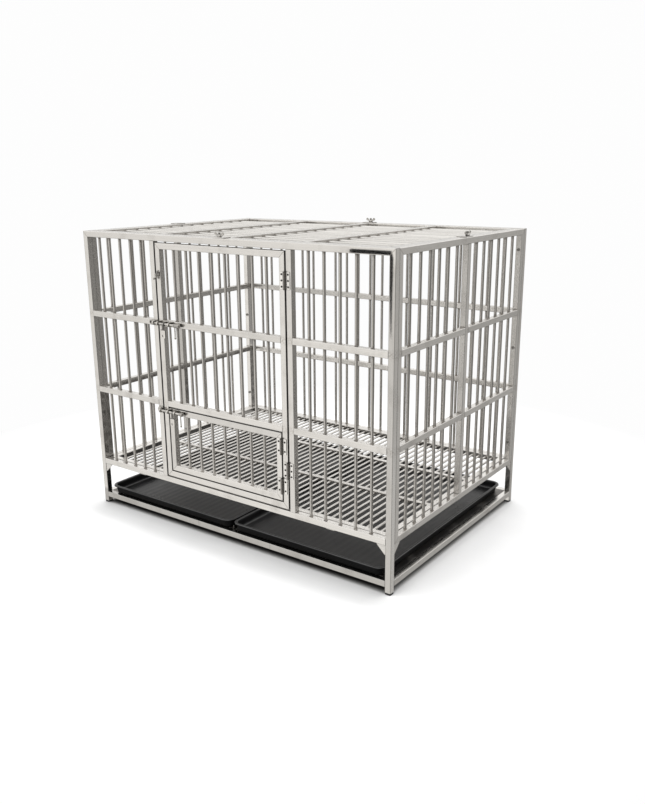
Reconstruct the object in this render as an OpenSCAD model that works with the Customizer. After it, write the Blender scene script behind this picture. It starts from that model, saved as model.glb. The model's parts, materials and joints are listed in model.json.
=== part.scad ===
// Flat-pack kennel cage of square tube and round bars: four bolted side
// panels, a lift-off top, a lift-out floor grate, a main door with a feeding
// door inside it, two slide bolts and two waste trays.
// Millimetres, +Z up, floor at z = 0, front towards -Y.

/* [Cage] */
// Width of the frame, left to right
cage_w = 1250; // [1150:10:1350]
// Depth of the frame, front to back
cage_d = 870; // [800:10:960]
// Height of the frame from the floor
cage_h = 1000; // [940:10:1080]
// Height of the bottom rail's top face
floor_z = 175; // [165:1:190]
// Height of the lower tray rail's top face
tray_rail_z = 42.5; // [38:0.5:50]

/* [Tube and bar] */
// Side of the square frame tube
tube = 20; // [19:0.5:21]
// Wall of the square tube
wall = 1.2; // [1:0.1:1.5]
// Outer corner radius of the tube
tube_r = 1.8; // [1:0.1:2.5]
// Diameter of the upright and top bars
bar_d = 9.5; // [8:0.5:10]
// Diameter of the floor bars
floor_bar_d = 8; // [6:0.5:9]
// Root gap left at every welded joint
gap = 0.1; // [0.05:0.05:0.2]

/* [Bars] */
// Bars in the bay left of the door
left_bars = 5; // [3:1:5]
// Bars in the bay right of the door
right_bars_n = 5; // [3:1:6]
// Bars in each half of a side panel
side_bars = 6; // [4:1:7]
// Bars in the back panel
back_bars_n = 21; // [15:1:24]
// Bars in the top panel
top_bars_n = 13; // [9:1:15]
// Bars in the floor grate
grate_bars_n = 45; // [30:1:48]

/* [Doors] */
// Clear width of the bay left of the door
left_bay = 305; // [280:5:330]
// Clear width between the two door posts
door_open = 540; // [500:5:560]
// Gap all round the main door
door_gap = 5; // [4.5:0.5:6]
// Gap all round the feeding door
feed_gap = 4; // [3.5:0.5:4.5]
// Bars in the main door
door_bars_n = 8; // [6:1:8]
// Bars in the feeding door
feed_bars_n = 7; // [5:1:7]

/* [Hinges and bolts] */
// Height of a hinge leaf
hinge_h = 50; // [46:1:52]
// Radius of a hinge knuckle
knuckle_r = 4.5; // [4.2:0.1:4.8]
// Radius of a hinge pin
pin_r = 2; // [1.8:0.1:2.2]
// Radius of a slide bolt's rod
bolt_r = 4; // [3.5:0.1:4]
// Travel of a slide bolt into its keeper
bolt_travel = 16; // [14:1:16]

/* [Trays] */
// Width of one waste tray over its rim
tray_w = 588; // [560:2:590]
// Depth of a waste tray over its rim
tray_d = 840; // [780:5:845]
// Height of a tray
tray_h = 31; // [25:1:45]
// Thickness of a tray's wall
tray_wall = 3; // [2.5:0.5:4]

/* [Hidden] */

// Colours
steel = [0.84, 0.83, 0.81];
bright = [0.88, 0.87, 0.85];
plate = [0.74, 0.73, 0.71];
black = [0.13, 0.13, 0.13];

// Fits and small stock
over = 1;                          // how far a cutter runs past a face
mitre_gap = 0.14;                  // root gap of a mitre, measured along the stile
bar_fit = 0.2;                     // bar hole's diameter over the bar's
leaf_thick = 2;                    // hinge leaves and the slide bolts' base plates
plate_thick = 3;                   // gussets, runners and lugs
foot_h = 6;

// Cage levels
rail_pitch = (cage_h - floor_z) / 3;
lower_mid_z = floor_z + rail_pitch;        // top face of the lower middle rail
upper_mid_z = floor_z + 2 * rail_pitch;    // top face of the upper middle rail
mid_rails_z = [lower_mid_z, upper_mid_z];
tie_z = [240, 590, cage_h - 70];

// Door opening and doors: x from the cage's left side
post_l = tube + left_bay;          // left edge of the left door post
open_l = post_l + tube;
open_r = open_l + door_open;
main_l = open_l + door_gap;
main_r = open_r - door_gap;
main_b = floor_z + door_gap;
main_t = cage_h - tube - door_gap;
feed_l = main_l + tube + feed_gap;
feed_r = main_r - tube - feed_gap;
feed_b = main_b + tube + feed_gap;
feed_t = lower_mid_z - tube - feed_gap;

// Hinges: axes in x, centre heights, and the heights of their screws
main_axis = main_r + door_gap / 2;
feed_axis = feed_r + feed_gap / 2;
main_hinge_z = [main_b + 130, main_t - 84];
feed_hinge_z = [feed_b + 51, feed_t - 42];
main_screw_z = [for (z = main_hinge_z, dz = [-18, 0, 18]) z + dz];
feed_screw_z = [for (z = feed_hinge_z, dz = [-15, 15]) z + dz];
leaf_screw_x = 12;                 // screw line, from the hinge axis
hinge_y = -tube / 2 - knuckle_r;   // hinge axis, from the tube's centre plane

// Slide bolts
bolt_off = 10;                     // rod's line, out from the front face
eye_r = 7;                         // outer radius of guide and keeper eyes
rod_y = -tube / 2 - bolt_off;      // rod's line, from the tube's centre plane
main_bolt_z = upper_mid_z - tube / 2;
feed_bolt_z = feed_t - tube / 2;
main_guides = [main_l + 2, main_l + 53];   // left faces of each bolt's two guides
feed_guides = [feed_l + 1, feed_l + 33];
main_eye_x = post_l + 7;           // left faces of the keeper eyes
feed_eye_x = post_l + 14;

// Keeps the origin under the middle of the whole box, bolt guides included
origin_y = (bolt_off + eye_r) / 2;

// ---- placing ----
// A panel's local x runs along it and its centre plane is local y = 0.
// A side panel's local x runs from front to back; side -1 is left, 1 is right.
module front() translate([-cage_w / 2, -cage_d / 2 + tube / 2 + origin_y, 0]) children();
module back() translate([-cage_w / 2, cage_d / 2 - tube / 2 + origin_y, 0]) children();
module side(hand) translate([hand * (cage_w / 2 - tube / 2), -cage_d / 2 + origin_y, 0])
  rotate([0, 0, 90]) children();
// Origin at the cage's front left corner
module plan() translate([-cage_w / 2, -cage_d / 2 + origin_y, 0]) children();
module along_x() rotate([90, 0, 90]) children();
module along_y() rotate([-90, 0, 0]) children();
module at_heights(x, heights) for (z = heights) translate([x, 0, z]) children();

// ---- stock ----
module rounded_square(size, radius) {
  square([size - 2 * radius, size], center = true);
  square([size, size - 2 * radius], center = true);
  for (i = [-1, 1], j = [-1, 1])
    translate([i * (size / 2 - radius), j * (size / 2 - radius)]) circle(radius, $fn = 24);
}
module tube_z(length, size = tube) linear_extrude(length) difference() {
  rounded_square(size, tube_r);
  square(size - 2 * wall, center = true);
}
module bar_z(length, diameter = bar_d) cylinder(h = length, d = diameter, $fn = 32);

// Square-cut members, short of their neighbours by the root gap
module upright(x, z_from, z_to) translate([x, 0, z_from + gap]) tube_z(z_to - z_from - 2 * gap);
module rail(x_from, x_to, z_top) translate([x_from + gap, 0, z_top - tube / 2])
  along_x() tube_z(x_to - x_from - 2 * gap);
module drilled_rail(x_from, x_to, z_top, bar_xs) difference() {
  rail(x_from, x_to, z_top);
  for (x = bar_xs) translate([x, 0, z_top - tube - over])
    cylinder(h = tube + 2 * over, d = bar_d + bar_fit, $fn = 32);
}

// Mitred members of a frame in the XZ plane, placed by their outer edge;
// inward is the sign of the direction from that edge into the frame
module slab_y(points) rotate([90, 0, 0]) translate([0, 0, -tube])
  linear_extrude(2 * tube) polygon(points);
module mitred_stile(x, z_from, z_to, inward, mitre_bottom = true) intersection() {
  translate([x + inward * tube / 2, 0, z_from]) tube_z(z_to - z_from);
  slab_y([
    [x, z_from + (mitre_bottom ? mitre_gap : 0)],
    [x + inward * tube, z_from + (mitre_bottom ? tube + mitre_gap : 0)],
    [x + inward * tube, z_to - tube - mitre_gap],
    [x, z_to - mitre_gap]
  ]);
}
module mitred_rail(x_from, x_to, z, inward) intersection() {
  translate([x_from, 0, z + inward * tube / 2]) along_x() tube_z(x_to - x_from);
  slab_y([
    [x_from, z],
    [x_to, z],
    [x_to - tube, z + inward * tube],
    [x_from + tube, z + inward * tube]
  ]);
}
module mitred_frame(x_from, x_to, z_from, z_to) {
  mitred_stile(x_from, z_from, z_to, 1);
  mitred_stile(x_to, z_from, z_to, -1);
  mitred_rail(x_from, x_to, z_to, -1);
  mitred_rail(x_from, x_to, z_from, 1);
}

// Places of count bars spread evenly between two members
function spread(from, to, count) = [for (i = [1:count]) from + (to - from) * i / (count + 1)];
module bars(bar_xs, z_from, z_to) for (x = bar_xs)
  translate([x, 0, z_from + gap]) bar_z(z_to - z_from - 2 * gap);

// ---- screws: driven in +y into a tube's front face ----
screw_hole_r = 1.6;
screw_head_h = 1.2;
module pilot() translate([0, -tube / 2 - over, 0]) along_y()
  cylinder(h = wall + 2 * over, r = screw_hole_r, $fn = 24);
module leaf_hole() translate([0, -tube / 2 - leaf_thick - over, 0]) along_y()
  cylinder(h = leaf_thick + 2 * over, r = screw_hole_r, $fn = 24);
module screw() translate([0, -tube / 2 - leaf_thick, 0]) along_y() {
  cylinder(h = leaf_thick + 5, r = 1.5, $fn = 24);
  translate([0, 0, -screw_head_h]) cylinder(h = screw_head_h, r1 = 2.2, r2 = 3.1, $fn = 32);
}

// ---- studs and wing nuts: axis +Z ----
stud_r = 4;
stud_head_h = 3;
stud_hole_r = stud_r + 0.1;
module stud(length) {
  cylinder(h = length, r = stud_r, $fn = 48);
  cylinder(h = stud_head_h, r = 6.5, $fn = 6);
}
module top_rail_stud_hole(x) translate([x, 0, cage_h - 4])
  cylinder(h = 6, r = stud_hole_r, $fn = 32);

// One wing as [x, z]; side is its sign in x
function wing_outline(side) = [
  [side * 1.25 * stud_r, 1.5],
  [side * 2.5 * stud_r, 3.2],
  [side * 3.9 * stud_r, 5],
  [side * 3.2 * stud_r, 14],
  [side * 2.4 * stud_r, 12],
  [side * 1.2 * stud_r, 7]
];
wing_thick = 2.8;
module wing_nut() difference() {       // seat at z = 0
  union() {
    cylinder(h = 8, r1 = 1.75 * stud_r, r2 = 1.45 * stud_r, $fn = 48);
    for (side = [-1, 1])
      rotate([90, 0, 0]) translate([0, 0, -wing_thick / 2]) linear_extrude(wing_thick) {
        polygon(wing_outline(side));
        translate([side * 3.6 * stud_r, 10]) circle(1.3 * stud_r, $fn = 32);
      }
  }
  translate([0, 0, -over]) cylinder(h = 20, r = stud_r + 0.05, $fn = 48);
}

// ---- tie bolts: side panels to the corner posts ----
tie_r = 3;
tie_head_h = 3.6;
rivet_nut_r = 4.5;
rivet_nut_h = 12;
// Origin at the side stile's inner face, +Z towards the corner post
module tie_at() for (i = [-1, 1], z = tie_z)
  translate([i * (cage_w / 2 - tube / 2), origin_y, z]) {
    translate([0, -cage_d / 2 + 2 * tube + gap, 0]) rotate([90, 0, 0]) children();
    translate([0, cage_d / 2 - 2 * tube - gap, 0]) rotate([-90, 0, 0]) children();
  }
module tie_bolt() {
  translate([0, 0, -1]) cylinder(h = 35, r = tie_r, $fn = 32);
  difference() {
    translate([0, 0, -tie_head_h]) cylinder(h = tie_head_h, r = 5, $fn = 32);
    translate([0, 0, -4]) cylinder(h = 2.6, r = 2.2, $fn = 6);    // hex socket
  }
}
module tie_bolts() color(bright) tie_at() tie_bolt();
module rivet_nuts() color(plate) tie_at() translate([0, 0, tube + 2 * gap]) difference() {
  cylinder(h = rivet_nut_h, r = rivet_nut_r, $fn = 32);
  translate([0, 0, -over]) cylinder(h = rivet_nut_h + 2 * over, r = tie_r + 0.05, $fn = 32);
}

// ---- front and back panels ----
left_bar_xs = spread(tube, post_l, left_bars);
right_bar_xs = spread(open_r + tube, cage_w - tube, right_bars_n);
back_bar_xs = spread(tube, cage_w - tube, back_bars_n);

// Corner posts, top and bottom rail; inward is the sign of y into the cage
module end_frame(inward) {
  for (post = [[0, 1], [cage_w, -1]]) difference() {
    mitred_stile(post[0], foot_h, cage_h, post[1], mitre_bottom = false);
    for (z = tie_z) translate([post[0] + post[1] * tube / 2, inward * (tube / 2 - 1) - 2, z])
      along_y() cylinder(h = 4, r = rivet_nut_r + 0.1, $fn = 32);
  }
  difference() {
    mitred_rail(0, cage_w, cage_h, -1);
    top_rail_stud_hole(cage_w / 2);
  }
  rail(tube, cage_w - tube, floor_z);
}
module front_frame() color(steel) front() {
  end_frame(1);
  upright(post_l + tube / 2, floor_z, cage_h - tube);
  difference() {
    upright(open_r + tube / 2, floor_z, cage_h - tube);
    at_heights(main_axis + leaf_screw_x, main_screw_z) pilot();
  }
  for (z = mid_rails_z) {
    drilled_rail(tube, post_l, z, left_bar_xs);
    drilled_rail(open_r + tube, cage_w - tube, z, right_bar_xs);
  }
}
module front_bars() color(bright) front() {
  bars(left_bar_xs, floor_z, cage_h - tube);
  bars(right_bar_xs, floor_z, cage_h - tube);
}
module back_frame() color(steel) back() {
  end_frame(-1);
  for (z = mid_rails_z) drilled_rail(tube, cage_w - tube, z, back_bar_xs);
}
module back_bars() color(bright) back() bars(back_bar_xs, floor_z, cage_h - tube);

// ---- side panels ----
side_start = tube + gap;
side_end = cage_d - tube - gap;
side_mid = cage_d / 2;
front_half_xs = spread(side_start + tube, side_mid - tube / 2, side_bars);
back_half_xs = spread(side_mid + tube / 2, side_end - tube, side_bars);
module side_frame(stud_hole) {
  bottom = floor_z - tube;
  for (stile = [[side_start, 1], [side_end, -1]]) difference() {
    mitred_stile(stile[0], bottom, cage_h, stile[1]);
    at_heights(stile[0] + stile[1] * tube / 2 - tube / 2 - over, tie_z)
      along_x() cylinder(h = tube + 2 * over, r = tie_r + 0.1, $fn = 32);
  }
  difference() {
    mitred_rail(side_start, side_end, cage_h, -1);
    if (stud_hole) top_rail_stud_hole(side_mid);
  }
  mitred_rail(side_start, side_end, bottom, 1);
  upright(side_mid, floor_z, cage_h - tube);
  for (z = mid_rails_z) {
    drilled_rail(side_start + tube, side_mid - tube / 2, z, front_half_xs);
    drilled_rail(side_mid + tube / 2, side_end - tube, z, back_half_xs);
  }
}
module side_panel_bars() {
  bars(front_half_xs, floor_z, cage_h - tube);
  bars(back_half_xs, floor_z, cage_h - tube);
}
module left_frame() color(steel) side(-1) side_frame(stud_hole = false);
module right_frame() color(steel) side(1) side_frame(stud_hole = true);
module left_side_bars() color(bright) side(-1) side_panel_bars();
module right_side_bars() color(bright) side(1) side_panel_bars();

// ---- under the floor ----
module lower_rails() color(steel) {
  front() rail(tube, cage_w - tube, tray_rail_z);
  back() rail(tube, cage_w - tube, tray_rail_z);
  for (hand = [-1, 1]) side(hand) rail(tube, cage_d - tube, tray_rail_z);
}

runner_w = 40;
mid_runner_w = 50;
runner_l = cage_d - 2 * tube - 2 * gap;
fin_thick = 3;                     // upright fin between the two trays
mid_x = cage_w / 2 + 2;            // centre of the middle runner
module tray_runners() color(plate) plan()
  translate([0, tube + gap, tray_rail_z - plate_thick]) {
    for (x = [tube + gap, cage_w - tube - gap - runner_w])
      translate([x, 0, 0]) cube([runner_w, runner_l, plate_thick]);
    union() {
      translate([mid_x - mid_runner_w / 2, 0, 0]) cube([mid_runner_w, runner_l, plate_thick]);
      translate([mid_x - fin_thick / 2, 0, plate_thick - 1]) cube([fin_thick, runner_l, 14]);
    }
  }

gusset_leg = 30;
gusset_nose = 3;                   // blunt end of each leg
gusset_setback = 1.5;              // back from the tubes' outer faces
// Outward is the sign of the panel's local y out of the cage
module gusset(outward)
  translate([0, outward * (tube / 2 - gusset_setback - plate_thick / 2), 0])
    rotate([90, 0, 0]) translate([0, 0, -plate_thick / 2]) linear_extrude(plate_thick)
      polygon([
        [gap, -gap],
        [gusset_leg, -gap],
        [gusset_leg, -gusset_nose],
        [gusset_nose, -gusset_leg],
        [gap, -gusset_leg]
      ]);
module gusset_pair(span, outward) {
  translate([tube, 0, floor_z - tube]) gusset(outward);
  translate([span - tube, 0, floor_z - tube]) mirror([1, 0, 0]) gusset(outward);
}
module gussets() color(steel) {
  front() gusset_pair(cage_w, -1);
  back() gusset_pair(cage_w, 1);
  for (hand = [-1, 1]) side(hand) gusset_pair(cage_d, -hand);
}

module foot_plugs() color(black) for (i = [-1, 1], j = [-1, 1])
  translate([i * (cage_w / 2 - tube / 2), j * (cage_d / 2 - tube / 2) + origin_y, 0]) {
    linear_extrude(foot_h) rounded_square(tube, 3);
    translate([0, 0, foot_h - 0.5])
      linear_extrude(14) rounded_square(tube - 2 * wall - 0.3, 2);
  }

// Lugs under the bottom rails: two at the front, two at the back, one each side
grate_lug_w = 30;
grate_lug_l = 34;
grate_lug_inset = 3;               // from the cage's outer faces
grate_lug_x = 200;                 // outer edge of a front or back lug, from the cage's side
module grate_lugs() color(plate) plan() translate([0, 0, floor_z - tube - plate_thick]) {
  for (x = [grate_lug_x, cage_w - grate_lug_x - grate_lug_w],
       y = [grate_lug_inset, cage_d - grate_lug_inset - grate_lug_l])
    translate([x, y, 0]) cube([grate_lug_w, grate_lug_l, plate_thick]);
  for (x = [grate_lug_inset, cage_w - grate_lug_inset - grate_lug_l])
    translate([x, cage_d / 2 - grate_lug_w / 2, 0])
      cube([grate_lug_l, grate_lug_w, plate_thick]);
}

// ---- butt hinges: hand 1 is the fixed leaf on the right, -1 the moving one ----
leaf_w = 16.9;
leaf_start = 0.6;                  // leaf's near edge, from the hinge axis
knuckle_h = hinge_h / 5;
knuckle_gap = 0.15;                // taken off each end of a knuckle
pin_head_h = 1.6;
module knuckle(i, grow_h, radius) translate([0, hinge_y, -hinge_h / 2 + i * knuckle_h - grow_h])
  cylinder(h = knuckle_h + 2 * grow_h, r = radius, $fn = 48);
module hinge_leaf(hand) {
  own = hand > 0 ? [0, 2, 4] : [1, 3];
  other = hand > 0 ? [1, 3] : [0, 2, 4];
  difference() {
    union() {
      translate([hand > 0 ? leaf_start : -leaf_start - leaf_w,
                 -tube / 2 - leaf_thick, -hinge_h / 2])
        cube([leaf_w, leaf_thick, hinge_h]);
      for (i = own) knuckle(i, -knuckle_gap, knuckle_r);
    }
    for (i = other) knuckle(i, knuckle_gap, knuckle_r + 0.5);
    translate([0, hinge_y, -hinge_h / 2 - over])
      cylinder(h = hinge_h + 2 * over, r = pin_r + 0.05, $fn = 48);
  }
}
module drilled_leaves(hand, axis, hinge_heights, screw_heights) difference() {
  at_heights(axis, hinge_heights) hinge_leaf(hand);
  at_heights(axis + hand * leaf_screw_x, screw_heights) leaf_hole();
}
module hinge_pin() translate([0, hinge_y, -hinge_h / 2]) {
  translate([0, 0, -1]) cylinder(h = hinge_h + 2, r = pin_r, $fn = 48);
  for (z = [-pin_head_h, hinge_h])
    translate([0, 0, z]) cylinder(h = pin_head_h, r = 3.2, $fn = 48);
}
module main_hinge_post_leaves() color(plate) front()
  drilled_leaves(1, main_axis, main_hinge_z, main_screw_z);
module main_hinge_door_leaves() color(plate) front()
  drilled_leaves(-1, main_axis, main_hinge_z, main_screw_z);
module feed_hinge_stile_leaves() color(plate) front()
  drilled_leaves(1, feed_axis, feed_hinge_z, feed_screw_z);
module feed_hinge_door_leaves() color(plate) front()
  drilled_leaves(-1, feed_axis, feed_hinge_z, feed_screw_z);
module main_hinge_pins() color(bright) front() at_heights(main_axis, main_hinge_z) hinge_pin();
module feed_hinge_pins() color(bright) front() at_heights(feed_axis, feed_hinge_z) hinge_pin();

// ---- slide bolts: modelled with the rod's height at z = 0, rods withdrawn ----
guide_w = 6;
base_h = 18;                       // height of a bracket's base plate
knob_offset = 8;                   // knob from the right guide's left face, bolt shot
finger_r = 2.2;
hub_w = 8;                         // hasp's hub, along the rod
hasp_thick = 3;
function bracket_screw_xs(guides) = [guides[0] + 12, guides[1] + 11];

// A loop standing on the face, bored along x
module eye_block(width, bore_r) difference() {
  union() {
    translate([0, rod_y, -eye_r]) cube([width, -tube / 2 - rod_y, 2 * eye_r]);
    translate([0, rod_y, 0]) along_x() cylinder(h = width, r = eye_r, $fn = 48);
  }
  translate([-over, rod_y, 0]) along_x() cylinder(h = width + 2 * over, r = bore_r, $fn = 48);
}
module base_plate(x, width, height) translate([x, -tube / 2 - leaf_thick, -height / 2])
  cube([width, leaf_thick, height]);
module padlock_ring(x) translate([x, -tube / 2 - leaf_thick, 0]) rotate([90, 0, 0])
  difference() {
    cylinder(h = 3, r = 9.5, $fn = 48);
    translate([0, 0, -over]) cylinder(h = 3 + 2 * over, r = 5.5, $fn = 48);
  }
module keeper_eye(x, width) translate([x, 0, 0]) eye_block(width, bolt_r + 0.4);
module main_keeper() color(plate) front() translate([0, 0, main_bolt_z]) {
  base_plate(post_l - 8, tube + 7.5, base_h);
  keeper_eye(main_eye_x, 6);
  padlock_ring(post_l - 8);
}
module feed_keeper() color(plate) front() translate([0, 0, feed_bolt_z]) {
  base_plate(post_l + 0.5, tube - 1, 24);
  keeper_eye(feed_eye_x, 5.5);
  padlock_ring(post_l + 8);
}
module bolt_bracket(guides) difference() {
  union() {
    base_plate(guides[0] - 1, guides[1] - guides[0] + 16, base_h);
    for (x = guides) translate([x, 0, 0]) eye_block(guide_w, bolt_r + 0.08);
  }
  for (x = bracket_screw_xs(guides)) translate([x, 0, 0]) leaf_hole();
}
// Rod with a tapered knob and a hanging finger pull
module bolt_rod(tip_x, guides, knob_l) {
  knob_x = guides[1] + knob_offset + bolt_travel;
  knob_end = 3;                    // length of the knob's rounded-down end
  union() {
    translate([tip_x, rod_y, 0]) along_x() cylinder(h = knob_x - tip_x + 1, r = bolt_r, $fn = 48);
    translate([knob_x, rod_y, 0])
      along_x() cylinder(h = knob_l - knob_end, r1 = 5.5, r2 = 7, $fn = 48);
    translate([knob_x + knob_l - knob_end, rod_y, 0])
      along_x() cylinder(h = knob_end, r1 = 7, r2 = 5, $fn = 48);
    translate([knob_x + 5, rod_y, -42]) cylinder(h = 42, r = finger_r, $fn = 32);
    translate([knob_x + 5, rod_y, -45]) cylinder(h = 7, r = 3.4, $fn = 32);
  }
}
// Lever that hangs on the rod and turns about it: hub, neck and holed flap
module hasp(x) difference() {
  union() {
    translate([x, rod_y, 0]) along_x() cylinder(h = hub_w, r = 6.2, $fn = 48);
    translate([x, rod_y - 6, -20]) cube([hub_w, hasp_thick, 20]);
    translate([x - 6, rod_y - 6, -46]) cube([hub_w + 12, hasp_thick, 28]);
  }
  translate([x - over, rod_y, 0])
    along_x() cylinder(h = hub_w + 2 * over, r = bolt_r + 0.06, $fn = 48);
  translate([x + hub_w / 2, rod_y - 8, -38]) along_y() cylinder(h = 8, r = 4, $fn = 48);
}
module main_bolt_bracket() color(plate) front()
  translate([0, 0, main_bolt_z]) bolt_bracket(main_guides);
module feed_bolt_bracket() color(plate) front()
  translate([0, 0, feed_bolt_z]) bolt_bracket(feed_guides);
module main_bolt_rod() color(bright) front()
  translate([0, 0, main_bolt_z]) bolt_rod(main_eye_x + 9, main_guides, knob_l = 26);
module feed_bolt_rod() color(bright) front()
  translate([0, 0, feed_bolt_z]) bolt_rod(feed_eye_x + 7, feed_guides, knob_l = 15);
module main_hasp() color(plate) front() translate([0, 0, main_bolt_z]) hasp(main_guides[0] + 26);
module feed_hasp() color(plate) front() translate([0, 0, feed_bolt_z]) hasp(feed_guides[1] - 9.5);

// ---- hinge and bracket screws ----
module post_screws() color(bright) front()
  at_heights(main_axis + leaf_screw_x, main_screw_z) screw();
module main_door_screws() color(bright) front() {
  at_heights(main_axis - leaf_screw_x, main_screw_z) screw();
  at_heights(feed_axis + leaf_screw_x, feed_screw_z) screw();
  for (x = bracket_screw_xs(main_guides)) translate([x, 0, main_bolt_z]) screw();
}
module feed_door_screws() color(bright) front() {
  at_heights(feed_axis - leaf_screw_x, feed_screw_z) screw();
  for (x = bracket_screw_xs(feed_guides)) translate([x, 0, feed_bolt_z]) screw();
}

// ---- main door ----
main_bar_xs = spread(main_l + tube, main_r - tube, door_bars_n);
door_stud_z = main_t - 101;
module main_door_frame() color(steel) front() {
  screw_xs = bracket_screw_xs(main_guides);
  difference() {
    mitred_stile(main_l, main_b, main_t, 1);
    translate([main_l + tube / 2, -tube / 2 - over, door_stud_z])
      along_y() cylinder(h = tube + 2 * over, r = stud_hole_r, $fn = 32);
    translate([screw_xs[0], 0, main_bolt_z]) pilot();
  }
  difference() {
    mitred_stile(main_r, main_b, main_t, -1);
    at_heights(main_axis - leaf_screw_x, main_screw_z) pilot();
    at_heights(feed_axis + leaf_screw_x, feed_screw_z) pilot();
  }
  mitred_rail(main_l, main_r, main_t, -1);
  mitred_rail(main_l, main_r, main_b, 1);
  difference() {
    drilled_rail(main_l + tube, main_r - tube, upper_mid_z, main_bar_xs);
    translate([screw_xs[1], 0, main_bolt_z]) pilot();
  }
  rail(main_l + tube, main_r - tube, lower_mid_z);
}
module main_door_bars() color(bright) front() bars(main_bar_xs, lower_mid_z, main_t - tube);
module door_stud() color(bright) front()
  translate([main_l + tube / 2, tube / 2 + stud_head_h, door_stud_z])
    rotate([90, 0, 0]) stud(tube + stud_head_h + 13);
module door_wing_nut() color(plate) front()
  translate([main_l + tube / 2, -tube / 2 - 0.3, door_stud_z])
    rotate([90, 0, 0]) rotate([0, 0, 55]) wing_nut();

// ---- feeding door ----
feed_bar_xs = spread(feed_l + tube, feed_r - tube, feed_bars_n);
module feed_door_frame() color(steel) front() {
  mitred_stile(feed_l, feed_b, feed_t, 1);
  difference() {
    mitred_stile(feed_r, feed_b, feed_t, -1);
    at_heights(feed_axis - leaf_screw_x, feed_screw_z) pilot();
  }
  difference() {
    mitred_rail(feed_l, feed_r, feed_t, -1);
    for (x = bracket_screw_xs(feed_guides)) translate([x, 0, feed_bolt_z]) pilot();
  }
  mitred_rail(feed_l, feed_r, feed_b, 1);
}
module feed_door_bars() color(bright) front() bars(feed_bar_xs, feed_b + tube, feed_t - tube);

// ---- lift-out panels: the top and the floor grate, built in plan ----
panel_inset = tube + 2;            // panel's outer edge, from the cage's outer faces
panel_in = panel_inset + tube;     // inside edge of the panel's frame
panel_clear_w = cage_w - 2 * panel_in;
panel_clear_d = cage_d - 2 * panel_in;
module flat_frame(z) translate([0, 0, z]) mirror([0, 1, 0]) rotate([90, 0, 0])
  mitred_frame(panel_inset, cage_w - panel_inset, panel_inset, cage_d - panel_inset);

// ---- top panel ----
top_z = cage_h - tube / 2;
top_bar_ys = spread(panel_in, cage_d - panel_in, top_bars_n);
mullion_xs = spread(panel_in, cage_w - panel_in, 3);
module top_frame() color(steel) plan() flat_frame(top_z);
module top_mullions() color(steel) plan() for (x = mullion_xs) difference() {
  translate([x, panel_in + gap, top_z]) along_y() tube_z(panel_clear_d - 2 * gap);
  for (y = top_bar_ys) translate([x - tube, y, top_z])
    along_x() cylinder(h = 2 * tube, d = bar_d + bar_fit, $fn = 32);
}
module top_bars() color(bright) plan() for (y = top_bar_ys)
  translate([panel_in + gap, y, top_z]) along_x() bar_z(panel_clear_w - 2 * gap);

// Lugs lie on the cage's top rails and reach inwards over the panel;
// all but the left one are held by a stud and wing nut
top_lug_w = 44;
module top_lug(hole = true) difference() {
  translate([-top_lug_w / 2, -tube / 2 + 2, cage_h]) cube([top_lug_w, 34, plate_thick]);
  if (hole) translate([0, 0, cage_h - over])
    cylinder(h = plate_thick + 2 * over, r = stud_r + 0.5, $fn = 32);
}
module top_stud_at() {
  front() translate([cage_w / 2, 0, 0]) children();
  back() translate([cage_w / 2, 0, 0]) rotate([0, 0, 180]) children();
  side(1) translate([side_mid, 0, 0]) children();
}
module top_lugs() color(plate) {
  top_stud_at() top_lug();
  side(-1) translate([side_mid, 0, 0]) rotate([0, 0, 180]) top_lug(hole = false);
}
module top_studs() color(bright) top_stud_at() translate([0, 0, cage_h - wall - stud_head_h])
  stud(stud_head_h + wall + plate_thick + 14);
module top_wing_nut(x) translate([x, 0, cage_h + plate_thick + 0.2]) wing_nut();
module wing_nut_front() color(plate) front() top_wing_nut(cage_w / 2);
module wing_nut_back() color(plate) back() top_wing_nut(cage_w / 2);
module wing_nut_right() color(plate) side(1) top_wing_nut(side_mid);

// ---- floor grate ----
grate_z = floor_z - tube / 2 + 0.5;
cross_tube = 15;                   // side of the cross tubes
grate_bar_xs = spread(panel_in, cage_w - panel_in, grate_bars_n);
cross_tube_ys = spread(panel_in, cage_d - panel_in, 2);
module grate_frame() color(steel) plan() flat_frame(grate_z);
module grate_cross_tubes() color(steel) plan() for (y = cross_tube_ys) difference() {
  translate([panel_in + gap, y, grate_z])
    along_x() tube_z(panel_clear_w - 2 * gap, cross_tube);
  for (x = grate_bar_xs) translate([x, y - cross_tube, grate_z])
    along_y() cylinder(h = 2 * cross_tube, d = floor_bar_d + bar_fit, $fn = 32);
}
module grate_bars() color(bright) plan() for (x = grate_bar_xs)
  translate([x, panel_in + gap, grate_z])
    along_y() bar_z(panel_clear_d - 2 * gap, floor_bar_d);

// ---- trays ----
tray_y = 3;                        // front of the rim, from the cage's front
tray_z = tray_rail_z + 0.5;
tray_gap = 4;                      // rim to the middle runner's centre
tray_r = 22;                       // corner radius of the body
rim_r = 30;
rim_w = 9;                         // rim's reach beyond the body
rim_h = 5;
module round_rect(width, depth, radius) {
  translate([radius, 0]) square([width - 2 * radius, depth]);
  translate([0, radius]) square([width, depth - 2 * radius]);
  for (x = [radius, width - radius], y = [radius, depth - radius])
    translate([x, y]) circle(radius, $fn = 48);
}
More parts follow.
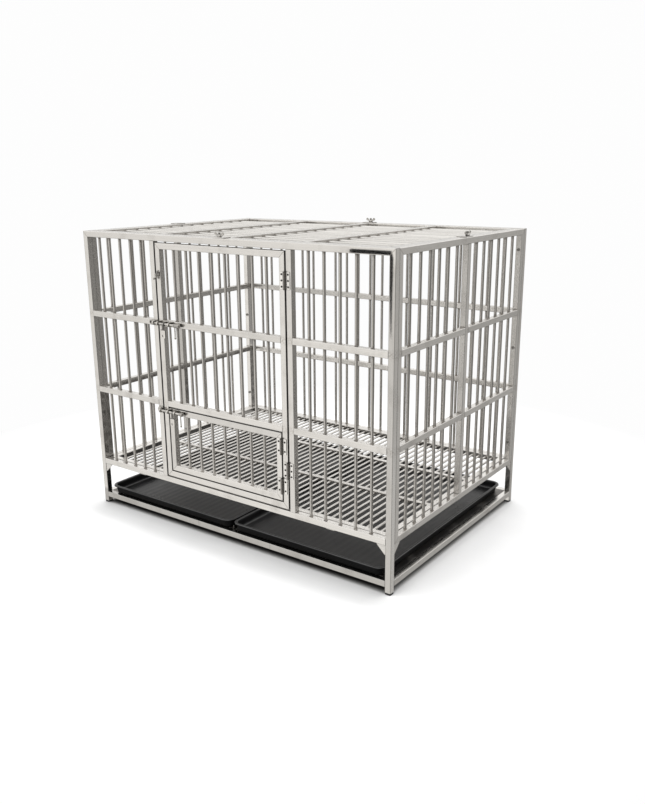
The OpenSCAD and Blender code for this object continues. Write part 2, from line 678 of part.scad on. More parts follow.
// The tray's body, or its hollow, set in from the rim's outline
module tray_body(inset, radius) translate([inset, inset, inset - rim_w])
  linear_extrude(tray_h) round_rect(tray_w - 2 * inset, tray_d - 2 * inset, radius);
module tray() difference() {
  union() {
    tray_body(rim_w, tray_r);
    translate([0, 0, tray_h - rim_h]) linear_extrude(rim_h) round_rect(tray_w, tray_d, rim_r);
  }
  tray_body(rim_w + tray_wall, tray_r - tray_wall);
}
module tray_left() color(black) plan()
  translate([mid_x - tray_gap - tray_w, tray_y, tray_z]) tray();
module tray_right() color(black) plan() translate([mid_x + tray_gap, tray_y, tray_z]) tray();

front_frame();
front_bars();
back_frame();
back_bars();
left_frame();
left_side_bars();
right_frame();
right_side_bars();
lower_rails();
tray_runners();
gussets();
foot_plugs();
tie_bolts();
rivet_nuts();
grate_lugs();
main_hinge_post_leaves();
main_hinge_pins();
post_screws();
main_keeper();
feed_keeper();
top_studs();
main_door_frame();
main_door_bars();
main_hinge_door_leaves();
feed_hinge_stile_leaves();
feed_hinge_pins();
main_bolt_bracket();
main_door_screws();
door_stud();
feed_door_frame();
feed_door_bars();
feed_hinge_door_leaves();
feed_bolt_bracket();
feed_door_screws();
main_bolt_rod();
main_hasp();
feed_bolt_rod();
feed_hasp();
door_wing_nut();
tray_left();
tray_right();
grate_frame();
grate_cross_tubes();
grate_bars();
top_frame();
top_mullions();
top_bars();
top_lugs();
wing_nut_front();
wing_nut_back();
wing_nut_right();
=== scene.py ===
"""A stainless steel cage of square tubes and round bars, with a main door and a small feed door.

The cage stands on z = 0. X runs from its left (-X) to its right (+X), its front looks along -Y,
and a lift-off top panel closes it. A floor grate and two plastic trays sit inside.
Lengths are in metres; sizes of small parts are written as a number of MM.
"""
import json
import math
import random

import bmesh
import bpy
from mathutils import Matrix, Vector


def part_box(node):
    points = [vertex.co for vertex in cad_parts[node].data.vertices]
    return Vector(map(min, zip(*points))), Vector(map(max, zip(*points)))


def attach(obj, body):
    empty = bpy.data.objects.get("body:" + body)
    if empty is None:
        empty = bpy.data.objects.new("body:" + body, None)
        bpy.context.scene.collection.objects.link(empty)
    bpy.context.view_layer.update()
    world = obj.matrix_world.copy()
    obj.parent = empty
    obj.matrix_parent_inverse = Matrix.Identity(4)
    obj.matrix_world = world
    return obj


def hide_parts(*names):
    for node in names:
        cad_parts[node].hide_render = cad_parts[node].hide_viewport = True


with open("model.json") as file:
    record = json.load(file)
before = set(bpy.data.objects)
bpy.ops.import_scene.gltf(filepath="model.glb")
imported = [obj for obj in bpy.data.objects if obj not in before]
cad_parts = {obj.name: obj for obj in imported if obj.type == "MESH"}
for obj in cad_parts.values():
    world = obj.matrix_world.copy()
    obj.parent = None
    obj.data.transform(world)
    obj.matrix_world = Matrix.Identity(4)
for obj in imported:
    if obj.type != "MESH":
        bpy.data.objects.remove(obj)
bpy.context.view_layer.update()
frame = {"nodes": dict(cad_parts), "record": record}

NODES = frame["nodes"]
RECORD = frame["record"]
BODY = {node: body for body, nodes in RECORD["behaviour"]["bodies"].items() for node in nodes}
SLOT = {part["node"]: part["material_slot"] for part in RECORD["subparts"]}
scene = bpy.context.scene
MM = 0.001


# ---------------------------------------------------------------- driving sizes
def corners(node):
    """Low and high corner of a node's box."""
    low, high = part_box(node)
    return Vector(low), Vector(high)


front_low, front_high = corners("front_frame")
LEFT, RIGHT = front_low.x, front_high.x      # outer side faces
TUBE = front_high.y - front_low.y            # side of the square tube
FRONT, BACK = front_low.y, corners("back_frame")[1].y
TOP = front_high.z
SILL = round(corners("front_bars")[0].z, 3)  # top face of the bottom rails
RAIL_PITCH = (TOP - SILL) / 3
LOW_RAIL, HIGH_RAIL = SILL + RAIL_PITCH, SILL + 2 * RAIL_PITCH    # top faces of the middle rails
MIDDLE_Y = (FRONT + BACK) / 2
HALF_DEPTH = (BACK - FRONT) / 2
FRONT_ROW, BACK_ROW = FRONT + TUBE / 2, BACK - TUBE / 2           # middles of the tube rows
# faces of the rails that the upright bars meet
RAIL_FACES = [SILL, LOW_RAIL - TUBE, LOW_RAIL, HIGH_RAIL - TUBE, HIGH_RAIL, TOP - TUBE]


# ---------------------------------------------------------------- solids of a mesh
def islands(data):
    """Groups of faces that touch, one per solid, as a label for each vertex."""
    known, ids = {}, []
    for vertex in data.vertices:
        place = tuple(round(value, 5) for value in vertex.co)
        ids.append(known.setdefault(place, len(known)))
    parent = list(range(len(known)))

    def root(i):
        while parent[i] != i:
            parent[i] = parent[parent[i]]
            i = parent[i]
        return i

    for face in data.polygons:
        first = root(ids[face.vertices[0]])
        for k in face.vertices[1:]:
            other = root(ids[k])
            if first != other:
                parent[other] = first
    return [root(i) for i in ids]


def group_points(data, labels):
    """The vertex places of each solid, by label."""
    groups = {}
    for vertex, label in zip(data.vertices, labels):
        groups.setdefault(label, []).append(vertex.co)
    return groups


def solid_points(node):
    data = NODES[node].data
    return group_points(data, islands(data))


def extent(points):
    low = Vector([min(p[k] for p in points) for k in range(3)])
    high = Vector([max(p[k] for p in points) for k in range(3)])
    return low, high


def solids(node):
    """(centre, low, high) of each of a node's solids, sorted by centre."""
    spans = [extent(points) for points in solid_points(node).values()]
    return sorted((((low + high) / 2, low, high) for low, high in spans),
                  key=lambda solid: tuple(solid[0]))


def tag(obj, seed):
    """Writes each solid's long axis and a tone of its own, which the steel's grain follows."""
    data = obj.data
    labels = islands(data)
    boxes = {}
    for label, points in group_points(data, labels).items():
        boxes[label] = [(min(p[k] for p in points), max(p[k] for p in points)) for k in range(3)]
    rng = random.Random(seed)
    grain, tone = {}, {}
    for label in sorted(boxes, key=lambda key: tuple(low for low, high in boxes[key])):
        size = [high - low for low, high in boxes[label]]
        longest = size.index(max(size))
        grain[label] = [1.0 if k == longest else 0.0 for k in range(3)]
        tone[label] = rng.random()
    for name, kind in (("grain", "FLOAT_VECTOR"), ("tone", "FLOAT")):
        if name not in data.attributes:
            data.attributes.new(name, kind, "POINT")
    flat = [value for label in labels for value in grain[label]]
    data.attributes["grain"].data.foreach_set("vector", flat)
    data.attributes["tone"].data.foreach_set("value", [tone[label] for label in labels])


# ---------------------------------------------------------------- shader building
class Tree:
    """A node tree under construction. An argument may be a value or an output socket.

    A material's current colour and roughness are kept in .colour and .rough while its layers
    are added.
    """

    def __init__(self, node_tree):
        self.tree = node_tree
        node_tree.nodes.clear()

    def node(self, kind, inputs=None, **props):
        node = self.tree.nodes.new(kind)
        for name, value in props.items():
            setattr(node, name, value)
        for key, value in (inputs or {}).items():
            socket = node.inputs[key]
            if isinstance(value, bpy.types.NodeSocket):
                self.tree.links.new(value, socket)
            else:
                socket.default_value = value
        return node

    def output(self, surface, kind="ShaderNodeOutputMaterial"):
        self.node(kind, {0: surface})

    def math(self, operation, a, b=0.0):
        return self.node("ShaderNodeMath", {0: a, 1: b}, operation=operation).outputs[0]

    def add(self, a, b):
        return self.math("ADD", a, b)

    def sub(self, a, b):
        return self.math("SUBTRACT", a, b)

    def mul(self, a, b):
        return self.math("MULTIPLY", a, b)

    def abs(self, a):
        return self.math("ABSOLUTE", a)

    def max(self, a, b):
        return self.math("MAXIMUM", a, b)

    def vector(self, operation, *operands):
        node = self.node("ShaderNodeVectorMath", dict(enumerate(operands)), operation=operation)
        return node.outputs["Value" if operation in ("DOT_PRODUCT", "LENGTH") else "Vector"]

    def scaled(self, vector, scale):
        node = self.node("ShaderNodeVectorMath", operation="SCALE",
                         inputs={0: vector, "Scale": scale})
        return node.outputs["Vector"]

    def xyz(self, vector):
        return self.node("ShaderNodeSeparateXYZ", {0: vector}).outputs

    def coords(self, name="Object"):
        return self.node("ShaderNodeTexCoord").outputs[name]

    def geometry(self, name):
        return self.node("ShaderNodeNewGeometry").outputs[name]

    def noise(self, vector, detail=3.0, rough=0.6):
        inputs = {"Vector": vector, "Scale": 1.0, "Detail": detail, "Roughness": rough}
        return self.node("ShaderNodeTexNoise", inputs).outputs["Fac"]

    def clouds(self, vector, scale, detail=3.0, rough=0.6):
        return self.noise(self.scaled(vector, scale), detail, rough)

    def ramp(self, factor, stops, interpolation="LINEAR"):
        """A colour ramp; stops are (position, colour)."""
        node = self.node("ShaderNodeValToRGB", {"Fac": factor})
        node.color_ramp.interpolation = interpolation
        elements = node.color_ramp.elements
        while len(elements) > 1:
            elements.remove(elements[-1])
        elements[0].position, elements[0].color = stops[0]
        for position, colour in stops[1:]:
            elements.new(position).color = colour
        return node.outputs["Color"]

    def mix(self, factor, a, b, blend="MIX"):
        node = self.node("ShaderNodeMix", {"Factor": factor, "A": a, "B": b},
                         data_type="RGBA", blend_type=blend)
        return node.outputs["Result"]

    def remap(self, value, span, to=(0.0, 1.0)):
        """value moved from span to the range to, and held at its ends."""
        inputs = {"Value": value, "From Min": span[0], "From Max": span[1],
                  "To Min": to[0], "To Max": to[1]}
        return self.node("ShaderNodeMapRange", inputs).outputs["Result"]

    def near(self, value, places, span):
        """1 within span[0] of any of the places, fading to 0 at span[1]."""
        result = None
        for place in places:
            close = self.remap(self.abs(self.sub(value, place)), span, to=(1.0, 0.0))
            result = close if result is None else self.max(result, close)
        return result

    def openness(self, samples, distance):
        node = self.node("ShaderNodeAmbientOcclusion", {"Distance": distance}, samples=samples)
        return node.outputs["AO"]

    def bump(self, height, strength, distance):
        inputs = {"Strength": strength, "Distance": distance, "Height": height}
        return self.node("ShaderNodeBump", inputs).outputs[0]

    def tint(self, amount, rgb):
        """Mixes rgb into the material's colour."""
        self.colour = self.mix(amount, self.colour, (*rgb, 1))

    def roughen(self, amount, most):
        """Adds up to most to the material's roughness."""
        self.rough = self.add(self.rough, self.mul(amount, most))


def new_material(name):
    material = bpy.data.materials.new(name)
    material.use_nodes = True
    return material, Tree(material.node_tree)


def grey(value, warm=0.0):
    return (value * (1 + 0.02 * warm), value, value * (1 - 0.035 * warm), 1.0)


# ---------------------------------------------------------------- steel
def steel(name, base, rough, streak=1.0, dirt=0.35, aniso=0.0, bump=0.12, corner_shade=0.8,
          treat=None, blacken=None):
    """Brushed stainless steel whose grain runs along each solid's long axis.

    streak is the contrast of the brushing, dirt how far marks darken it and corner_shade how
    strong the shade painted into corners and joints is. treat adds layers before that painted
    shade and blacken after.
    """
    material, tree = new_material(name)
    tree.position = position = tree.coords()
    tree.grain = grain = tree.node("ShaderNodeAttribute", attribute_name="grain").outputs["Vector"]
    tone = tree.node("ShaderNodeAttribute", attribute_name="tone").outputs["Fac"]
    # moves the pattern so that no two solids share it
    shift = tree.node("ShaderNodeCombineXYZ", {
        k: tree.mul(tone, reach) for k, reach in enumerate((7.3, 3.1, 5.7))}).outputs[0]
    along = tree.scaled(grain, tree.vector("DOT_PRODUCT", position, grain))
    across = tree.vector("SUBTRACT", position, along)

    def brushed(across_scale, along_scale, **noise):
        stretched = tree.vector("ADD", tree.scaled(across, across_scale),
                                tree.scaled(along, along_scale))
        return tree.noise(tree.vector("ADD", stretched, shift), **noise)

    tree.brushed = brushed
    fine = brushed(2600.0, 28.0, detail=4.0, rough=0.7)
    lines = brushed(520.0, 5.0, detail=3.0, rough=0.65)
    patches = brushed(40.0, 9.0, detail=3.0, rough=0.55)
    smear = tree.noise(tree.vector("ADD", tree.scaled(position, 14.0), shift), detail=4.0)
    # shares of the three scales of brushing
    brushing = tree.add(tree.mul(fine, 0.34), tree.mul(lines, 0.48))
    brushing = tree.add(brushing, tree.mul(patches, 0.18))
    dark, light = Vector(base) * (1 - 0.17 * streak), Vector(base) * (1 + 0.13 * streak)
    streaks = tree.ramp(brushing, [(0.32, (*dark, 1)), (0.66, (*light, 1))])
    level = tree.remap(tone, (0.0, 1.0), to=(0.93, 1.05))
    own_tone = tree.node("ShaderNodeCombineColor", {k: level for k in range(3)}).outputs[0]
    tree.colour = tree.mix(1.0, streaks, own_tone, "MULTIPLY")
    # finger marks and dust: duller, slightly browner clouds
    marks = tree.remap(smear, (0.52, 0.74))
    tree.tint(tree.mul(marks, dirt), (0.48, 0.455, 0.425))
    tree.rough = tree.remap(brushing, (0.3, 0.7), to=(rough + 0.07, rough - 0.05))
    tree.roughen(marks, 0.12)
    tree.bump_strength = bump
    if treat:
        treat(tree)
    # painted shade: ambient occlusion darkens the corners and the joints between parts
    corner = tree.remap(tree.openness(samples=10, distance=0.008), (0.30, 0.86), to=(1.0, 0.0))
    tree.tint(tree.mul(corner, corner_shade), (0.055, 0.050, 0.045))
    tree.roughen(corner, 0.15)
    if blacken:
        blacken(tree)
    # relief: fine brushing, its longer lines and a slow waviness of the sheet
    height = tree.add(tree.mul(fine, 0.6), tree.mul(lines, 0.9))
    wave = tree.clouds(position, 24.0, detail=1.0)
    height = tree.add(height, tree.mul(wave, 5.0))
    inputs = {"Base Color": tree.colour, "Metallic": 1.0, "Roughness": tree.rough,
              "Normal": tree.bump(height, strength=tree.bump_strength, distance=0.12 * MM)}
    if aniso:
        inputs.update({"Anisotropic": aniso, "Tangent": grain})
    tree.output(tree.node("ShaderNodeBsdfPrincipled", inputs).outputs[0])
    return material


def weld_heat(axis, places):
    """Heat tint beside welds, at places along an axis (0, 1 or 2)."""
    def treat(tree):
        heat = tree.near(tree.xyz(tree.position)[axis], places, (0.0015, 0.011))
        speckle = tree.clouds(tree.position, 420.0)
        heat = tree.mul(heat, tree.remap(speckle, (0.3, 0.7), to=(0.55, 1.0)))
        tree.tint(tree.mul(heat, 0.72), (0.165, 0.145, 0.125))
        tree.roughen(heat, 0.18)
    return treat


def straw_on_posts(tree):
    """Posts are a little straw coloured where a middle rail was welded to them."""
    height = tree.xyz(tree.position)[2]
    upright = tree.xyz(tree.grain)[2]
    heat = tree.near(height, [LOW_RAIL - TUBE / 2, HIGH_RAIL - TUBE / 2], (0.004, 0.019))
    cloud = tree.clouds(tree.position, 190.0)
    heat = tree.mul(tree.mul(heat, upright), tree.remap(cloud, (0.42, 0.62)))
    tree.tint(tree.mul(heat, 0.42), (0.30, 0.265, 0.225))


# how a component of the normal fades in as a face turns along that axis
FACING = (0.72, 0.95)


def paint_opening_shade(tree, normal, place):
    """Painted shade on the tube faces that look across the openings, which are also made duller
    than the outer faces.
    """
    facing = tree.remap(tree.abs(normal[0]), FACING)
    inside = tree.remap(tree.abs(place[0]), (RIGHT - 0.006, RIGHT - 0.010))
    low = tree.remap(place[2], (LOW_RAIL - 0.004, LOW_RAIL - 0.012))
    inner = RIGHT - TUBE
    legs = tree.mul(low, tree.remap(tree.abs(place[0]), (inner - 0.012, inner - 0.006)))
    pattern = tree.brushed(30.0, 55.0, detail=2.0)
    leg_extra = tree.mul(legs, tree.remap(pattern, (0.35, 0.65), to=(0.22, 0.52)))
    dark = tree.mul(tree.mul(facing, inside), tree.add(0.30, leg_extra))
    # the same painted shade between the uprights of the two side panels
    facing = tree.remap(tree.abs(normal[1]), FACING)
    side = tree.remap(tree.abs(place[0]), (inner - 0.004, inner + 0.0005))
    reach = HALF_DEPTH - 2 * TUBE
    between = tree.remap(tree.abs(tree.sub(place[1], MIDDLE_Y)), (reach - 0.004, reach - 0.008))
    panels = tree.mul(tree.mul(facing, tree.mul(side, between)), 0.26)
    dark = tree.max(dark, panels)
    tree.tint(dark, (0.060, 0.054, 0.048))
    return dark


def front_rail_and_leg_tones(tree, normal, place):
    """Darker on the front rails near the floor and on the front face of the front right leg, paler
    on the lower part of that leg's right face.
    """
    front_row = tree.remap(place[1], (FRONT + TUBE + 0.0010, FRONT + TUBE - 0.0005))
    near_floor = tree.mul(front_row, tree.remap(place[2], (0.050, 0.062), to=(0.36, 0.0)))
    inner = RIGHT - TUBE
    leg = tree.mul(front_row, tree.remap(place[0], (inner - 0.001, inner + 0.0005)))
    near_floor = tree.mul(near_floor, tree.sub(1.0, leg))
    leg_front = tree.mul(leg, tree.remap(normal[1], (-0.72, -0.95), to=(0.0, 0.27)))
    leg_front = tree.mul(leg_front, tree.remap(place[2], (0.965, 0.93)))
    tree.tint(tree.max(near_floor, leg_front), (0.030, 0.027, 0.024))
    # the lower part of the leg's right face is made paler
    lightened = tree.mul(leg, tree.remap(normal[0], FACING, to=(0.0, 0.85)))
    lightened = tree.mul(lightened, tree.remap(place[2], (0.52, 0.34)))
    tree.tint(lightened, (0.96, 0.945, 0.92))
    tree.roughen(lightened, 0.06)


def buff_corner(tree):
    """The front right top corner was buffed after welding and is close to a mirror."""
    x, y, z = tree.xyz(tree.position)
    along_rail = tree.mul(tree.remap(x, (0.45, 0.48)), tree.remap(z, (0.975, 0.981)))
    down_leg = tree.mul(tree.remap(x, (0.6, 0.606)), tree.remap(z, (0.70, 0.78)))
    front = tree.remap(y, (FRONT + 0.003, FRONT + 0.0015))
    buffed = tree.mul(tree.max(along_rail, down_leg), front)
    mirror_rough = (0.045, 0.045, 0.045, 1)
    tree.rough = tree.mix(buffed, tree.rough, mirror_rough)
    tree.bump_strength = tree.mul(tree.sub(1.0, buffed), tree.bump_strength)


def tube_finish(tree):
    straw_on_posts(tree)
    normal = tree.xyz(tree.geometry("True Normal"))
    place = tree.xyz(tree.position)
    dark = paint_opening_shade(tree, normal, place)
    front_rail_and_leg_tones(tree, normal, place)
    tree.roughen(dark, 0.05)
    buff_corner(tree)


def middle_x(node):
    low, high = corners(node)
    return (low.x + high.x) / 2


def barrel_shade(tree):
    """Darkens the hinge leaves beside their barrels."""
    barrels = [middle_x("main_hinge_pins"), middle_x("feed_hinge_pins")]
    shade = tree.near(tree.xyz(tree.position)[0], barrels, (0.0042, 0.0054))
    tree.tint(tree.mul(shade, 0.85), (0.17, 0.155, 0.14))


def hasp_blackening(tree):
    """Painted shade on the hasps' cut edges, as a dark outline, and blackened links just below
    each pivot.
    """
    pivots = [corners(node)[1].z - 6.2 * MM for node in ("main_hasp", "feed_hasp")]
    link_drop = 0.0195
    normal = tree.xyz(tree.geometry("Normal"))
    height = tree.xyz(tree.coords())[2]
    # painted shade: faces turned away from the front darken into a dark outline
    edge = tree.remap(tree.abs(normal[1]), (0.97, 0.80), to=(0.0, 0.85))
    links = None
    for pivot in pivots:
        below = tree.sub(pivot, height)
        link = tree.mul(tree.remap(below, (-0.003, 0.0)),
                        tree.remap(below, (link_drop, link_drop + 0.0015), to=(1.0, 0.0)))
        links = link if links is None else tree.max(links, link)
    tree.tint(tree.max(edge, tree.mul(links, 0.8)), (0.05, 0.045, 0.04))


def weld_metal(name):
    """Weld beads: rippled, heat tinted from straw through brown to blue grey."""
    material, tree = new_material(name)
    position = tree.coords()
    ripple = tree.clouds(position, 260.0, detail=4.0)
    cloud = tree.clouds(position, 60.0, detail=2.0)
    tree.colour = tree.ramp(ripple, [
        (0.30, (0.10, 0.085, 0.075, 1)), (0.48, (0.26, 0.235, 0.205, 1)),
        (0.62, (0.42, 0.395, 0.365, 1)), (0.75, (0.52, 0.505, 0.49, 1))])
    blue_grey = (0.20, 0.20, 0.225)
    tree.tint(tree.remap(cloud, (0.45, 0.7), to=(0.0, 0.5)), blue_grey)
    tree.output(tree.node("ShaderNodeBsdfPrincipled", {
        "Metallic": 1.0,
        "Base Color": tree.colour,
        "Roughness": tree.remap(ripple, (0.3, 0.7), to=(0.55, 0.36)),
        "Normal": tree.bump(ripple, strength=0.5, distance=0.3 * MM)}).outputs[0])
    return material


def plastic(name, base, rough, grain=900.0):
    """Formed plastic sheet: leathery grain, dust on level faces, long pale scuffs and painted
    highlights on the rolled edges.
    """
    material, tree = new_material(name)
    position = tree.coords()
    leather = tree.clouds(position, grain)
    cloud = tree.clouds(position, 9.0, detail=5.0, rough=0.62)
    stretched = tree.node("ShaderNodeMapping", {"Vector": position, "Scale": (260.0, 5.0, 60.0)})
    streaks = tree.noise(stretched.outputs[0], detail=2.0, rough=0.5)
    base = Vector(base)
    tree.colour = tree.ramp(cloud, [(0.30, (*(base * 0.72), 1)), (0.70, (*(base * 1.35), 1))])
    scuffs = tree.mul(tree.remap(streaks, (0.60, 0.78)),
                      tree.remap(cloud, (0.45, 0.65), to=(0.0, 0.5)))
    tree.tint(scuffs, base * 2.6 + Vector((0.012, 0.012, 0.012)))
    upward = tree.xyz(tree.geometry("Normal"))[2]
    dust = tree.mul(tree.remap(upward, (0.8, 1.0)),
                    tree.remap(cloud, (0.4, 0.75), to=(0.05, 0.28)))
    tree.tint(dust, base * 1.9 + Vector((0.008, 0.007, 0.006)))
    # painted highlight: rolled edges, whose normals lean up without being level, are made pale
    edges = tree.mul(tree.remap(upward, (0.30, 0.55)),
                     tree.remap(upward, (0.90, 0.975), to=(1.0, 0.0)))
    lightened = tree.mul(edges, tree.remap(cloud, (0.3, 0.6), to=(0.45, 0.9)))
    tree.tint(lightened, base * 3.0 + Vector((0.030, 0.030, 0.030)))
    tree.rough = tree.remap(cloud, (0.3, 0.7), to=(rough - 0.06, rough + 0.08))
    tree.roughen(leather, 0.06)
    # painted shade and highlights through the specular level: low on the walls, high on the rolled
    # edges
    shine = tree.ramp(tree.remap(upward, (-1.0, 1.0)), [
        (0.0, grey(0.03)), (0.60, grey(0.04)), (0.72, grey(0.55)),
        (0.88, grey(0.85)), (0.965, grey(0.4)), (1.0, grey(0.30))])
    height = tree.add(leather, tree.mul(cloud, 2.0))
    tree.output(tree.node("ShaderNodeBsdfPrincipled", {
        "Base Color": tree.colour,
        "Roughness": tree.rough,
        "Specular IOR Level": shine,
        "Normal": tree.bump(height, strength=0.35, distance=0.25 * MM)}).outputs[0])
    return material


# ---------------------------------------------------------------- materials
def grate_welds():
    """Places along Y where the grate's bars meet its frame and its cross tubes."""
    tube = 0.015
    low, high = corners("grate_bars")
    cross_low, cross_high = corners("grate_cross_tubes")
    return [low.y, high.y, cross_low.y, cross_low.y + tube, cross_high.y - tube, cross_high.y]


def top_welds():
    """Places along X where the top panel's bars meet its frame and its three mullions."""
    low, high = corners("top_bars")
    first, last = corners("top_mullions")
    middle = (first.x + last.x) / 2
    return [low.x, high.x, first.x, first.x + TUBE, middle - TUBE / 2, middle + TUBE / 2,
            last.x - TUBE, last.x]


TUBE_STEEL = steel("tube_steel", base=(0.755, 0.738, 0.713), rough=0.20, streak=0.6, aniso=0.4,
                   treat=tube_finish)
BAR_STEEL = steel("bar_steel", base=(0.60, 0.58, 0.555), rough=0.17, streak=0.7, aniso=0.2,
                  treat=weld_heat(2, RAIL_FACES))
GRATE_STEEL = steel("grate_steel", base=(0.74, 0.725, 0.70), rough=0.22, streak=0.8, aniso=0.2,
                    treat=weld_heat(1, grate_welds()))
TOP_BAR_STEEL = steel("top_bar_steel", base=(0.72, 0.705, 0.68), rough=0.22, streak=0.8,
                      aniso=0.2, treat=weld_heat(0, top_welds()))
PLATE_STEEL = steel("plate_steel", base=(0.66, 0.645, 0.62), rough=0.24, dirt=0.4, bump=0.2)
# the hinge steel's base is brighter than the tubes': a painted highlight for the white shine of
# the leaves
HINGE_STEEL = steel("hinge_steel", base=(0.88, 0.865, 0.84), rough=0.20, streak=0.6, dirt=0.2,
                    bump=0.1, corner_shade=0.5, treat=barrel_shade)
LATCH_STEEL = steel("latch_steel", base=(0.64, 0.62, 0.59), rough=0.13, bump=0.25, corner_shade=1.0)
HASP_STEEL = steel("hasp_steel", base=(0.74, 0.72, 0.69), rough=0.17, streak=0.8, dirt=0.3,
                   bump=0.2, blacken=hasp_blackening)
# the fastener steel's near-black base is painted shade, standing in for the dark reflections on
# the screw heads
FASTENER_STEEL = steel("fastener_steel", base=(0.085, 0.08, 0.075), rough=0.36, dirt=0.1,
                       bump=0.3)
STUD_STEEL = steel("stud_steel", base=(0.34, 0.33, 0.31), rough=0.24, dirt=0.5, bump=0.3)
# the wing nut steel's base is darker than the tubes': painted shade for the dark reflections on
# the nuts
WING_STEEL = steel("wing_steel", base=(0.50, 0.485, 0.46), rough=0.16, streak=0.9, dirt=0.4,
                   bump=0.3, corner_shade=1.0)
# the runner steel's dark base is painted shade: the runners sit in shadow below the trays
RUNNER_STEEL = steel("runner_steel", base=(0.16, 0.152, 0.145), rough=0.42, dirt=0.8, bump=0.3,
                     corner_shade=0.9)
WELD = weld_metal("weld_bead")
TRAY_PLASTIC = plastic("tray_plastic", base=(0.0115, 0.0115, 0.012), rough=0.30)
FOOT_PLASTIC = plastic("foot_plastic", base=(0.045, 0.045, 0.045), rough=0.5, grain=1500.0)
SLOT_MATERIAL = {
    "tube_steel": TUBE_STEEL, "bar_steel": BAR_STEEL, "plate_steel": PLATE_STEEL,
    "fastener_steel": FASTENER_STEEL, "wing_nut_steel": WING_STEEL,
    "tray_plastic": TRAY_PLASTIC, "foot_plastic": FOOT_PLASTIC}
NODE_MATERIAL = {"grate_bars": GRATE_STEEL, "top_bars": TOP_BAR_STEEL}


def assign(obj, material):
    slots = obj.data.materials
    if slots:
        for i in range(len(slots)):
            slots[i] = material
    else:
        slots.append(material)


for node, obj in sorted(NODES.items()):
    assign(obj, NODE_MATERIAL.get(node, SLOT_MATERIAL[SLOT[node]]))


# ---------------------------------------------------------------- helpers for new pieces
def piece(name, mesh, material, body, smooth=35.0, bevel=0.0, replaces=None, seed=0):
    """Makes an object of a bmesh; smooth is the angle in degrees above which edges stay sharp."""
    data = bpy.data.meshes.new(name)
    bmesh.ops.recalc_face_normals(mesh, faces=mesh.faces)
    mesh.to_mesh(data)
    mesh.free()
    for face in data.polygons:
        face.use_smooth = True
    data.set_sharp_from_angle(angle=math.radians(smooth))
    obj = bpy.data.objects.new(name, data)
    scene.collection.objects.link(obj)
    data.materials.append(material)
    tag(obj, seed)
    if bevel:
        modifier = obj.modifiers.new("edge", "BEVEL")
        modifier.width = bevel
        modifier.segments = 2
        modifier.limit_method = "ANGLE"
        modifier.angle_limit = math.radians(38)
        modifier.harden_normals = True
    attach(obj, body)
    if replaces:
        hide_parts(replaces)


def clone(node, bevel, material, seed):
    """The CAD node's own shape as a clean welded mesh, with its edges broken."""
    mesh = bmesh.new()
    mesh.from_mesh(NODES[node].data)
    bmesh.ops.remove_doubles(mesh, verts=mesh.verts, dist=3e-6)
    bmesh.ops.dissolve_degenerate(mesh, edges=mesh.edges, dist=1e-6)
    bmesh.ops.dissolve_limit(mesh, angle_limit=math.radians(0.8), verts=mesh.verts,
                             edges=mesh.edges)
    piece(node + "_made", mesh, material or SLOT_MATERIAL[SLOT[node]], BODY[node],
          bevel=bevel, replaces=node, seed=seed)


def merge(mesh, part, matrix):
    """Moves a finished part by matrix and adds it to mesh."""
    bmesh.ops.transform(part, matrix=matrix, verts=part.verts)
    data = bpy.data.meshes.new("part")
    part.to_mesh(data)
    part.free()
    mesh.from_mesh(data)
    bpy.data.meshes.remove(data)


def rings(mesh, loops, closed=False, cap=True):
    """Joins loops of points with quads; closed joins the last loop to the first."""
    made = [[mesh.verts.new(p) for p in loop] for loop in loops]
    count = len(made[0])
    pairs = list(zip(made, made[1:])) + ([(made[-1], made[0])] if closed else [])
    for near, far in pairs:
        for k in range(count):
            after = (k + 1) % count
            mesh.faces.new((near[k], near[after], far[after], far[k]))
    if cap and not closed:
        mesh.faces.new(made[0][::-1])
        mesh.faces.new(made[-1])
    return made


def axes_of(axis):
    z = Vector(axis).normalized()
    x = z.orthogonal().normalized()
    return x, z.cross(x), z


def spoke(x, y, k, count):
    """Unit vector at step k of count round the plane of x and y."""
    angle = 2 * math.pi * k / count
    return x * math.cos(angle) + y * math.sin(angle)


def lathe(mesh, origin, axis, profile, count=32, closed=False):
    """profile is [(radius, height)] along axis from origin."""
    x, y, z = axes_of(axis)
    origin = Vector(origin)
    loops = [[origin + z * height + spoke(x, y, k, count) * radius for k in range(count)]
             for radius, height in profile]
    rings(mesh, loops, closed=closed)


# ---------------------------------------------------------------- grain on the kept CAD nodes
KEPT = ["front_frame", "front_bars", "back_frame", "back_bars", "left_frame", "left_side_bars",
        "right_frame", "right_side_bars", "lower_rails", "main_door_frame", "main_door_bars",
        "feed_door_frame", "feed_door_bars", "grate_frame", "grate_cross_tubes", "grate_bars",
        "top_frame", "top_mullions", "top_bars"]
for i, node in enumerate(KEPT):
    tag(NODES[node], seed=11 + i)

